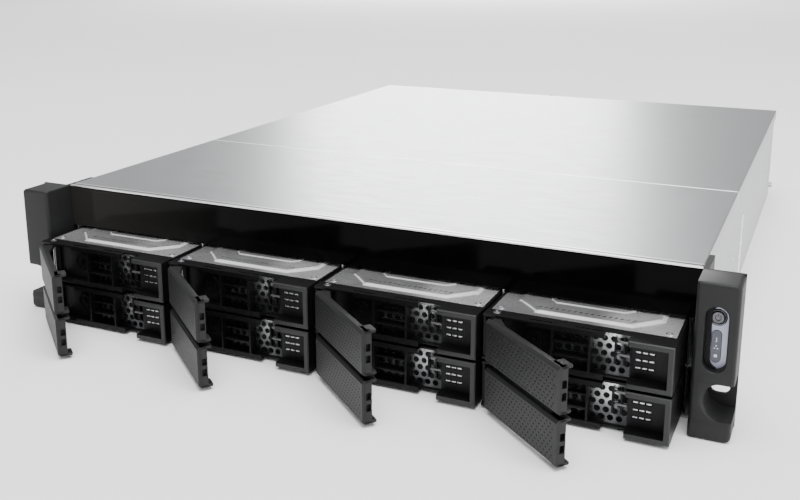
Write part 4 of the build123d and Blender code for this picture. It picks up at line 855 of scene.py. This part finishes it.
def make_shield(number, sizes):
    """Perforated plate: round holes on a close-packed grid, rows 0.87 of the pitch apart."""
    pitch = sizes.mm("vent_pitch")
    holes = [
        circle(sizes.mm("vent_radius"), 16, (x, TRAY_HEIGHT / 2 + row * pitch * math.sin(math.pi / 3)))
        for row in range(-2, 3)
        for x in np.arange(VENTS_LEFT + (row % 2) * pitch / 2, VENTS_RIGHT, pitch)
    ]
    plate = rectangle(PLATE_LEFT, PLATE_RIGHT, PLATE_LOW, PLATE_HIGH)
    shape = Shape(*pierced_slab(plate, holes, PLATE_FRONT, PLATE_BACK, to_front))
    make_tray_piece(number, "perforated", shape, "shield_steel", "shield_steel", f"tray_{number}_shield")


def lid_height(x, y, rise):
    """Height of a drive's pressed lid over its rim.

    d is how far a point lies inside a rectangle with slanted corners: the least of its distances to
    the four sides and the four slants. Ramps on d give a broad slope up from the rim, a shallow step
    down and a fine bead further in."""
    side = np.minimum(x - DRIVE_LEFT, DRIVE_RIGHT - x)
    end = np.minimum(y - DRIVE_FRONT, DRIVE_BACK - y)
    slant = (side + end - LID_CORNER) / math.sqrt(2)
    d = np.minimum(np.minimum(side - LID_SIDE, end - LID_END), slant)
    bead = ramp(d, BEAD_START, BEAD_SLOPE) * (1 - ramp(d, BEAD_END, BEAD_SLOPE))
    return rise * (ramp(d, 0.0, SLOPE_WIDTH) + STEP_SHARE * (bead - ramp(d, STEP_START, STEP_WIDTH)))


def drive_body(rise):
    """Drive: the lid is a height over a grid of X and Y, closed by a skirt and a bottom.

    The grid is denser over the front 40 mm. A quad's look follows the slope along Y less half that along
    X: what faces the front or the right takes a painted highlight, and what faces the back painted shade."""
    x = np.linspace(DRIVE_LEFT, DRIVE_RIGHT, 128)
    y = np.concatenate([np.linspace(DRIVE_FRONT, DRIVE_FRONT + 40.0, 100),
                        np.linspace(DRIVE_FRONT + 41.5, DRIVE_BACK, 76)])
    gx, gy = np.meshgrid(x, y, indexing="ij")
    height = lid_height(gx, gy, rise)
    points = np.stack([gx, gy, LID_BASE + height], -1).reshape(-1, 3)
    index = np.arange(gx.size).reshape(gx.shape)
    quads = np.stack([index[:-1, :-1], index[1:, :-1], index[1:, 1:], index[:-1, 1:]], -1).reshape(-1, 4)
    rim = np.concatenate([index[:, 0], index[-1, 1:], index[-2::-1, -1], index[0, -2:0:-1]])
    skirt = points[rim] * (1, 1, 0) + (0, 0, DRIVE_LOW)
    below = gx.size + np.arange(len(rim))
    walls = np.stack([rim, np.roll(rim, -1), np.roll(below, -1), below], -1)
    slope = np.gradient(height, y, axis=1) - 0.5 * np.gradient(height, x, axis=0)
    slope = slope.ravel()[quads].mean(1)
    bright, shade = slope > HIGHLIGHT_SLOPE, slope < SHADE_SLOPE
    return (np.concatenate([points, skirt]), quads[~bright & ~shade], quads[bright], quads[shade], walls,
            below[None, ::-1])


def make_drive(number, sizes):
    """Drive with its pressed lid, six screws and a row of slanted dashes."""
    rise = sizes.mm("lid_rise")
    drive = Shape(*drive_body(rise), look=(0, 1, 2, 3, 3))
    # Looks: lid, painted highlight on slopes, painted shade on slopes, and the sides and bottom
    finishes = ("drive_aluminium", "lid_painted_highlight", "lid_painted_shade", "drive_casting")
    make_tray_piece(number, "lid", drive, finishes, "drive_aluminium", f"tray_{number}_drive")
    screws = Shape()
    for x in (DRIVE_LEFT + LID_SCREW_X, DRIVE_RIGHT - LID_SCREW_X):
        for y in (DRIVE_FRONT + LID_SCREW_Y, (DRIVE_FRONT + DRIVE_BACK) / 2, DRIVE_BACK - LID_SCREW_Y):
            screws.add(*lobed_screw(LID_SCREW_RADIUS, LID_SCREW_HEIGHT, (x, y, LID_BASE)))
    make_tray_piece(number, "lid_screws", screws, "screw_steel", "drive_aluminium")
    dashes = Shape()
    for x in np.arange(DASHES_LEFT, DASHES_RIGHT, DASH_PITCH):
        dash = [(x, DASH_FRONT), (x + 0.9, DASH_FRONT), (x + 2.3, DASH_BACK), (x + 1.4, DASH_BACK)]
        level = LID_BASE + float(lid_height(x + 1.0, (DASH_FRONT + DASH_BACK) / 2, rise))
        dashes.slab(softened_outline(dash, 0.15, 2), level - 0.1, level + 0.04, to_level, 0.03, 1)
    make_tray_piece(number, "lid_dashes", dashes, "dark_insert", "drive_aluminium")


def lobed_screw(radius, height, centre):
    """Low domed screw head with a six-lobed recess.

    Rings run outwards. The recess's edge is at r (0.5 + 0.08 cos 6a), and within it the head drops by
    0.8 of its height."""
    a = np.arange(36) * 2 * np.pi / 36
    lobe = 0.5 + 0.08 * np.cos(6 * a)
    across = [np.broadcast_to(row, a.shape) for row in (0.06, lobe * 0.9, lobe, 0.8, 0.97, 1, 1)]
    up = np.array([0.15, 0.15, 0.95, 1.0, 0.75, 0.5, -0.3])
    rings, *faces = round_rings(radius * np.stack(across), height * up)
    return rings + np.array(centre), *faces


def make_tray_trim(number):
    """Small pieces of a tray: latch wires, springs behind the block's slots, the boss and the hinge pin."""
    latch, tabs = Shape(), Shape()
    for z in LATCH_WIRES_Z:
        latch.slab((*LATCH_X, z - 0.6, z + 0.6), *LATCH_Y, to_front, 0.3, corner=0.35)
    make_tray_piece(number, "latch", latch, "latch_grey", "shield_steel")
    for z in TAB_ROWS_Z:
        for x in TAB_COLUMNS_X:
            tabs.slab((x, x + TAB_LENGTH, z - 0.45, z + 0.45), *TABS_Y, to_front, 0.15, corner=0.3)
    make_tray_piece(number, "tabs", tabs, "spring_steel", "shield_steel")
    boss = Shape(*turned(BOSS_PROFILE, 36)).moved(facing((BOSS_X, BOSS_Y, TRAY_HEIGHT / 2)))
    make_tray_piece(number, "boss", boss, "tray_plastic", "tray_plastic")
    pin = Shape(*turned(PIN_PROFILE, 24)).moved(shifted((PIN_X, PIN_Y, 0.0)))
    make_tray_piece(number, "pin", pin, "pin_steel", "pin_steel", f"tray_{number}_hinge_pin")


def ear_surface(low, high):
    """Ear hood as rounded sections in X and Y stacked along Z, for a CAD box from low to high.

    At height z the section runs from the case's side to x_out(z): the ear's outer side, drawn in to
    c - sqrt(R^2 - (z - z_c)^2) within the hand hole. Its front moves back by a smooth dip in the band
    round the hole, and the first and last sections shrink by a quarter circle. It is worked out for the
    right side and mirrored for the left."""
    inner, outer = sorted(np.abs([low[0], high[0]]))
    t = np.linspace(0, np.pi / 2, 9)
    curve = EAR_CORNER * (1 - np.cos(t))
    hole = HOLE_Z - HOLE_RADIUS * np.cos(np.linspace(0, np.pi, 33))
    below = np.linspace(low[2] + EAR_CORNER + 0.1, hole[0], 8)
    above = np.linspace(hole[-1], high[2] - EAR_CORNER - 0.1, 24)
    z = np.concatenate([low[2] + curve, below, hole, above, high[2] - curve[::-1]])
    to_end = np.minimum(z - low[2], high[2] - z)
    shrink, corner = (r - np.sqrt(r ** 2 - np.maximum(r - to_end, 0) ** 2) for r in (EAR_EDGE, EAR_CORNER))
    reach = np.full_like(z, outer)
    start = len(curve) + len(below)
    reach[start:start + len(hole)] = HOLE_X - np.sqrt(np.maximum(HOLE_RADIUS ** 2 - (hole - HOLE_Z) ** 2, 0))
    dips = DIP_DEPTH * ramp(z, DIP_LOW, DIP_SLOPE) * (1 - ramp(z, DIP_HIGH, DIP_SLOPE))
    a = np.linspace(0, np.pi / 2, 7)
    r = EAR_ROUND
    rings = []
    for level, draw, x1, dip in zip(z, shrink, reach - corner, dips):
        x0, y0, y1 = inner + draw * 0.3, low[1] + dip + draw, high[1]
        corner_in = np.stack([x0 + r - r * np.cos(a), y0 + r - r * np.sin(a)], -1)
        corner_out = np.stack([x1 - r + r * np.sin(a), y0 + r - r * np.cos(a)], -1)
        rings.append(to_level(np.concatenate([[(x0, y1)], corner_in, corner_out, [(x1, y1)]]), level))
    return loft(np.stack(rings) * (math.copysign(1, low[0]), 1, 1))


def make_ear(side):
    """Moulded ear hood; the right one has the stadium recess cut by a Boolean with a slot prism."""
    node = f"{side}_ear"
    piece = make_piece(f"{node}_hood", Shape(*ear_surface(*node_box(node))), "ear_plastic", "chassis",
                       "ear_plastic", node)
    if side == "right":
        rings = [to_front(stadium(RECESS_LENGTH + grow, RECESS_WIDTH + grow) + (PANEL_X, PANEL_Z), y)
                 for grow, y in RECESS_RINGS]
        cutter = add_object("panel_cutter", build_mesh("panel_cutter", Shape(*loft(np.stack(rings))),
                                                       "ear_plastic"))
        boolean = piece.modifiers.new("Recess", "BOOLEAN")
        boolean.object = cutter
        boolean.solver = "EXACT"
        graph = bpy.context.evaluated_depsgraph_get()
        finished = bpy.data.meshes.new_from_object(piece.evaluated_get(graph))
        piece.modifiers.clear()
        piece.data = finished
        finished.set_sharp_from_angle(angle=SHARP_ANGLE)
        bpy.data.objects.remove(cutter)


def make_status_panel():
    """Panel plate in the ear's recess, a dark curved band painted as the shadow of the recess's left wall,
    and the window with its signs.
    """
    outline, centre = stadium(PANEL_LENGTH, PANEL_WIDTH), (PANEL_X, PANEL_Z)
    hole = circle(BUTTON_HOLE, 32, (PANEL_X, BUTTON_Z))
    back = PANEL_FRONT + PANEL_THICKNESS
    plate = Shape(*pierced_slab(outline + centre, [hole], PANEL_FRONT, back, to_front))
    make_piece("status_plate", plate, "panel_silver", "chassis", "panel_silver", "status_panel")
    half = outline[outline[:, 0] <= 1e-6]
    half = half[np.argsort(-half[:, 1])]
    # A dark band over the plate's left part, between its edge and a smaller copy of it: painted shadow of the
    # recess's left wall
    shadow_crescent = np.concatenate([half, half[::-1] * SHADOW_SCALE + SHADOW_OFFSET]) + centre
    wall = Shape().slab(shadow_crescent, PANEL_FRONT - 1.6, PANEL_FRONT + 0.4, to_front, 0.05, 1)
    make_piece("panel_recess_shadow", wall, "dark_insert", "chassis", "ear_plastic")
    ring = Shape(*hoop(RING_PROFILE, 40)).moved(facing((PANEL_X, PANEL_FRONT, BUTTON_Z)))
    make_piece("button_ring", ring, "button_metal", "chassis", "panel_silver")
    middle = (PANEL_X, WINDOW_Z)
    window = Shape().slab(stadium(WINDOW_LENGTH, WINDOW_WIDTH, 14) + middle, PANEL_FRONT - 0.5,
                          PANEL_FRONT + 0.6, to_front, 0.35)
    make_piece("status_window", window, "panel_slate", "chassis", "panel_silver")
    outlines = [circle(radius, 14, (x, z)) for x, z, radius in SIGN_DOTS]
    outlines += [rectangle(*SIGN_BAR), softened_outline(rectangle(*SIGN_SQUARE), 0.3)]
    signs = Shape()
    for sign in outlines:
        signs.slab(sign + middle, PANEL_FRONT - 0.56, PANEL_FRONT - 0.36, to_front, 0.03, 1)
    make_piece("status_signs", signs, "sign_white", "chassis", "panel_silver")


def make_power_button():
    """Dished power button with its sign: an open ring and a bar."""
    place = (PANEL_X, PANEL_FRONT, BUTTON_Z)
    button = Shape(*turned(BUTTON_PROFILE, 40)).moved(facing(place))
    make_piece("power_button_cap", button, "button_metal", "power_button", "button_metal", "power_button")
    a = np.linspace(*POWER_SIGN_ENDS, 30)
    inner, outer = (radius * np.stack([np.cos(a), np.sin(a)], -1) for radius in POWER_SIGN_RADII)
    arc = np.concatenate([inner, outer[::-1]]) + (PANEL_X, BUTTON_Z)
    bar = (PANEL_X - 0.13, PANEL_X + 0.13, BUTTON_Z + 0.5, BUTTON_Z + 1.9)
    sign = Shape().slab(arc, PANEL_FRONT - 0.72, PANEL_FRONT - 0.5, to_front, 0.02, 1)
    sign.slab(bar, PANEL_FRONT - 0.74, PANEL_FRONT - 0.5, to_front, 0.02, 1)
    make_piece("power_sign", sign, "dark_insert", "power_button", "button_metal")


def make_supply_details(number):
    """Pins in the mains inlet of a power supply, and its lamp."""
    body = f"power_supply_{number}"
    low, high = node_box(body)
    left, middle = low[0], (low[2] + high[2]) / 2
    pins = Shape()
    for across, up in INLET_PINS:
        x, z = left + INLET_X + across, middle + up
        pins.slab((x - 1, x + 1, z - 2, z + 2), *INLET_PINS_Y, to_front, corner=0.3)
    make_piece(f"inlet_{number}_pins", pins, "socket_steel", body, "supply_steel")
    lamp = Shape(*turned(LAMP_PROFILE, 24)).moved(facing((left + LAMP_X, LAMP_Y, middle + LAMP_Z), 1))
    make_piece(f"supply_{number}_lamp", lamp, "sign_white", body, "supply_steel")


def make_socket_details():
    """Contacts in the four network sockets and tongues in the four data sockets."""
    contacts, tongues = Shape(), Shape()
    for index in range(4):
        first = NETWORK_X + NETWORK_PITCH * index - CONTACT_PITCH * (CONTACT_COUNT - 1) / 2
        for x in first + CONTACT_PITCH * np.arange(CONTACT_COUNT):
            contacts.slab((x - 0.22, x + 0.22, *CONTACTS_Z), *CONTACTS_Y, to_front, 0.1, 1)
        x = DATA_X + DATA_PITCH * index
        tongues.slab((x - 5.4, x + 5.4, *TONGUES_Z), *TONGUES_Y, to_front, 0.2, corner=0.2)
    make_piece("network_contacts", contacts, "contact_gold", "chassis", "socket_steel")
    make_piece("data_tongues", tongues, "dark_insert", "chassis", "socket_steel")


def make_cover_details():
    """A bright strip in the seam between the covers, a painted highlight, and the knurled screw head.

    The knurl is a circle whose radius varies as r (1 + 0.03 cos 40a)."""
    strip = (COVER_LOW[0] + 1.2, COVER_HIGH[0] - 1.2, SEAM_Y - 0.33, SEAM_Y + 0.33)
    # A near-white strip in the gap of the seam: a painted highlight
    seam = Shape().slab(strip, CASE_TOP - 1.0, CASE_TOP - 0.15, to_level, 0.05, 1)
    make_piece("seam_painted_highlight", seam, "hem_bright", "chassis", "cover_steel")
    a = np.arange(4 * KNURL_COUNT) * 2 * np.pi / (4 * KNURL_COUNT)
    radius, height = np.array(HEAD_PROFILE).T
    knurl = np.outer(radius == KNURL_RADIUS, KNURL_DEPTH * np.cos(KNURL_COUNT * a))
    head = Shape(*round_rings(radius[:, None] * (1 + knurl), height))
    head.moved(facing((SCREW_X, SCREW_Y, CASE_TOP - SCREW_BELOW_TOP), 1))
    make_piece("thumb_screw_head", head, "screw_steel", "rear_cover", "cover_steel")


def make_side_details():
    """Screws and pressed dots on the case's sides: low domes."""
    dots = Shape()
    for side in (-1, 1):
        for y, z, radius in SIDE_DOTS:
            profile = ((0.02, -0.4), (radius, -0.4), (radius, 0.1), (radius * 0.8, 0.45), (0.02, 0.6))
            dome, *faces = turned(profile, 20)
            out, up = side * (SIDE_DOTS_X + dome[..., 2]), z + dome[..., 1]
            dots.add(np.stack([out, y + dome[..., 0], up], -1), *faces)
    make_piece("side_screws", dots, "screw_steel", "chassis", "galvanised_steel")


# Stage
def make_floor():
    """Pale floor with a faint unevenness."""
    material = bpy.data.materials.new("studio_floor")
    material.use_nodes = True
    tree = material.node_tree
    noise = add_noise(tree, add_node(tree, "TexCoord").outputs["Object"], 3.0)
    join(tree, tree.nodes["Principled BSDF"], {
        "Base Color": blend_colours(tree, noise, (0.90, 0.90, 0.90, 1), (0.93, 0.93, 0.93, 1)),
        "Roughness": 0.8, "Specular IOR Level": 0.0})
    mesh = bpy.data.meshes.new("floor")
    corners = to_level(rectangle(-FLOOR_SIZE, FLOOR_SIZE, -FLOOR_SIZE, FLOOR_SIZE), 0)
    mesh.from_pydata(corners, [], [(0, 1, 2, 3)])
    mesh.materials.append(material)
    add_object("floor", mesh)


def make_world():
    """White surroundings, brighter to the camera than as light."""
    world = bpy.data.worlds.new("studio")
    bpy.context.scene.world = world
    world.use_nodes = True
    tree = world.node_tree
    seen = add_node(tree, "LightPath").outputs["Is Camera Ray"]
    join(tree, tree.nodes["Background"], {
        "Color": (1.0, 1.0, 1.0, 1), "Strength": remap(tree, seen, 0.0, 1.0, WORLD_LIGHT, WORLD_SEEN)})


def make_lamps():
    """Soft light from the whole sky, and the square lamps, each turned towards its target."""
    data = bpy.data.lights.new("sky", "SUN")
    data.energy = SKY_STRENGTH
    data.angle = SKY_ANGLE
    add_object("sky", data).rotation_euler = SKY_TILT
    for name, place, target, power, size in LAMPS:
        data = bpy.data.lights.new(name, "AREA")
        data.energy = power
        data.size = size
        lamp = add_object(name, data)
        lamp.location = place
        lamp.rotation_euler = (Vector(target) - Vector(place)).to_track_quat("-Z", "Y").to_euler()


def make_camera():
    """Camera at the photograph's viewing angle."""
    data = bpy.data.cameras.new("camera")
    data.lens = CAMERA_LENS
    data.sensor_width = 36.0
    data.shift_y = CAMERA_SHIFT
    data.clip_start = 0.01
    camera = add_object("camera", data)
    camera.location = CAMERA_PLACE
    level = math.cos(CAMERA_PITCH)
    forward = Vector((math.sin(CAMERA_YAW) * level, math.cos(CAMERA_YAW) * level, math.sin(CAMERA_PITCH)))
    camera.rotation_euler = forward.to_track_quat("-Z", "Y").to_euler()
    bpy.context.scene.camera = camera


# Operators, in the order in which main calls them
class SERVER_OT_stage(bpy.types.Operator):
    """Floor, surroundings, lamps and camera"""
    bl_idname = "server.stage"
    bl_label = "Stage"

    def execute(self, context):
        make_floor()
        make_world()
        make_lamps()
        make_camera()
        return {"FINISHED"}


class SERVER_OT_finishes(bpy.types.Operator):
    """Make the shared shader groups and every material"""
    bl_idname = "server.finishes"
    bl_label = "Finishes"

    def execute(self, context):
        make_finishes(context.scene.server_colours)
        for node, piece in frame["nodes"].items():
            piece.data.materials.clear()
            piece.data.materials.append(FINISHES[NODE_SLOTS[node]])
        return {"FINISHED"}


class SERVER_OT_casing(bpy.types.Operator):
    """Soften the folded edges of the case, covers, brackets and supplies"""
    bl_idname = "server.casing"
    bl_label = "Casing"

    def execute(self, context):
        width = context.scene.server_sizes.mm("edge_round")
        for node in ("rear_panel", "front_cover", "rear_cover", "front_bezel", "rack_brackets",
                     "power_supply_1", "power_supply_2"):
            soften_node(node, NODE_SLOTS[node], width)
        wall = COVER_HIGH[0] - 1.2
        # The bead's faces on the case's sides take the near-white finish: a painted highlight
        soften_node("chassis_pan", "galvanised_steel", width, "hem_bright", lambda centres, normals: (
            (np.abs(centres[:, 0]) > wall) & (np.abs(centres[:, 1] - BEAD_Y) < BEAD_HALF)))
        # The cage's outer front corners, between the trays and the ears, take the black finish: painted shade
        soften_node("drive_cage", "cage_steel", width / 2, "bracket_black", lambda centres, normals: (
            (np.abs(centres[:, 0]) > CAGE_SIDE) & (centres[:, 1] < CAGE_FRONT)))
        make_cover_details()
        make_side_details()
        return {"FINISHED"}


class SERVER_OT_trays(bpy.types.Operator):
    """Carriers, perforated plates, drives and small parts of the eight trays"""
    bl_idname = "server.trays"
    bl_label = "Trays"

    def execute(self, context):
        sizes = context.scene.server_sizes
        for number in TRAYS:
            carrier = f"tray_{number}_carrier"
            rim_back = node_box(carrier)[0][1] + RIM_DEPTH
            soften_node(carrier, "tray_plastic", sizes.mm("edge_round"), "rim_plastic",
                        lambda centres, normals: (centres[:, 1] < rim_back) & (normals[:, 1] < -0.3))
            make_shield(number, sizes)
            make_drive(number, sizes)
            make_tray_trim(number)
        return {"FINISHED"}


class SERVER_OT_levers(bpy.types.Operator):
    """The eight dimpled levers"""
    bl_idname = "server.levers"
    bl_label = "Levers"

    def execute(self, context):
        for number in TRAYS:
            make_lever(number, context.scene.server_sizes)
        return {"FINISHED"}


class SERVER_OT_ears(bpy.types.Operator):
    """Moulded ear hoods and the status panel with its power button"""
    bl_idname = "server.ears"
    bl_label = "Ears and status panel"

    def execute(self, context):
        make_ear("left")
        make_ear("right")
        make_status_panel()
        make_power_button()
        return {"FINISHED"}


class SERVER_OT_rear(bpy.types.Operator):
    """Pins, contacts and lamps of the rear side"""
    bl_idname = "server.rear"
    bl_label = "Rear side"

    def execute(self, context):
        make_supply_details(1)
        make_supply_details(2)
        make_socket_details()
        return {"FINISHED"}


STEPS = (SERVER_OT_stage, SERVER_OT_finishes, SERVER_OT_casing, SERVER_OT_trays, SERVER_OT_levers,
         SERVER_OT_ears, SERVER_OT_rear)


class SERVER_PT_panel(bpy.types.Panel):
    """Lists the steps, sizes and colours of the server"""
    bl_idname = "SERVER_PT_panel"
    bl_label = "Rack server"
    bl_space_type = "VIEW_3D"
    bl_region_type = "UI"
    bl_category = "Server"

    def draw(self, context):
        for step in STEPS:
            self.layout.operator(step.bl_idname)
        for group in (context.scene.server_sizes, context.scene.server_colours):
            for name in group.bl_rna.properties.keys():
                if name not in ("rna_type", "name"):
                    self.layout.prop(group, name)


CLASSES = (ServerSizes, ServerColours, *STEPS, SERVER_PT_panel)


def register():
    for item in CLASSES:
        bpy.utils.register_class(item)
    bpy.types.Scene.server_sizes = bpy.props.PointerProperty(type=ServerSizes)
    bpy.types.Scene.server_colours = bpy.props.PointerProperty(type=ServerColours)


def unregister():
    del bpy.types.Scene.server_colours
    del bpy.types.Scene.server_sizes
    for item in reversed(CLASSES):
        bpy.utils.unregister_class(item)


def main():
    """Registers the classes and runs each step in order."""
    register()
    bpy.ops.server.stage()
    bpy.ops.server.finishes()
    bpy.ops.server.casing()
    bpy.ops.server.trays()
    bpy.ops.server.levers()
    bpy.ops.server.ears()
    bpy.ops.server.rear()


if __name__ == "__main__":
    main()
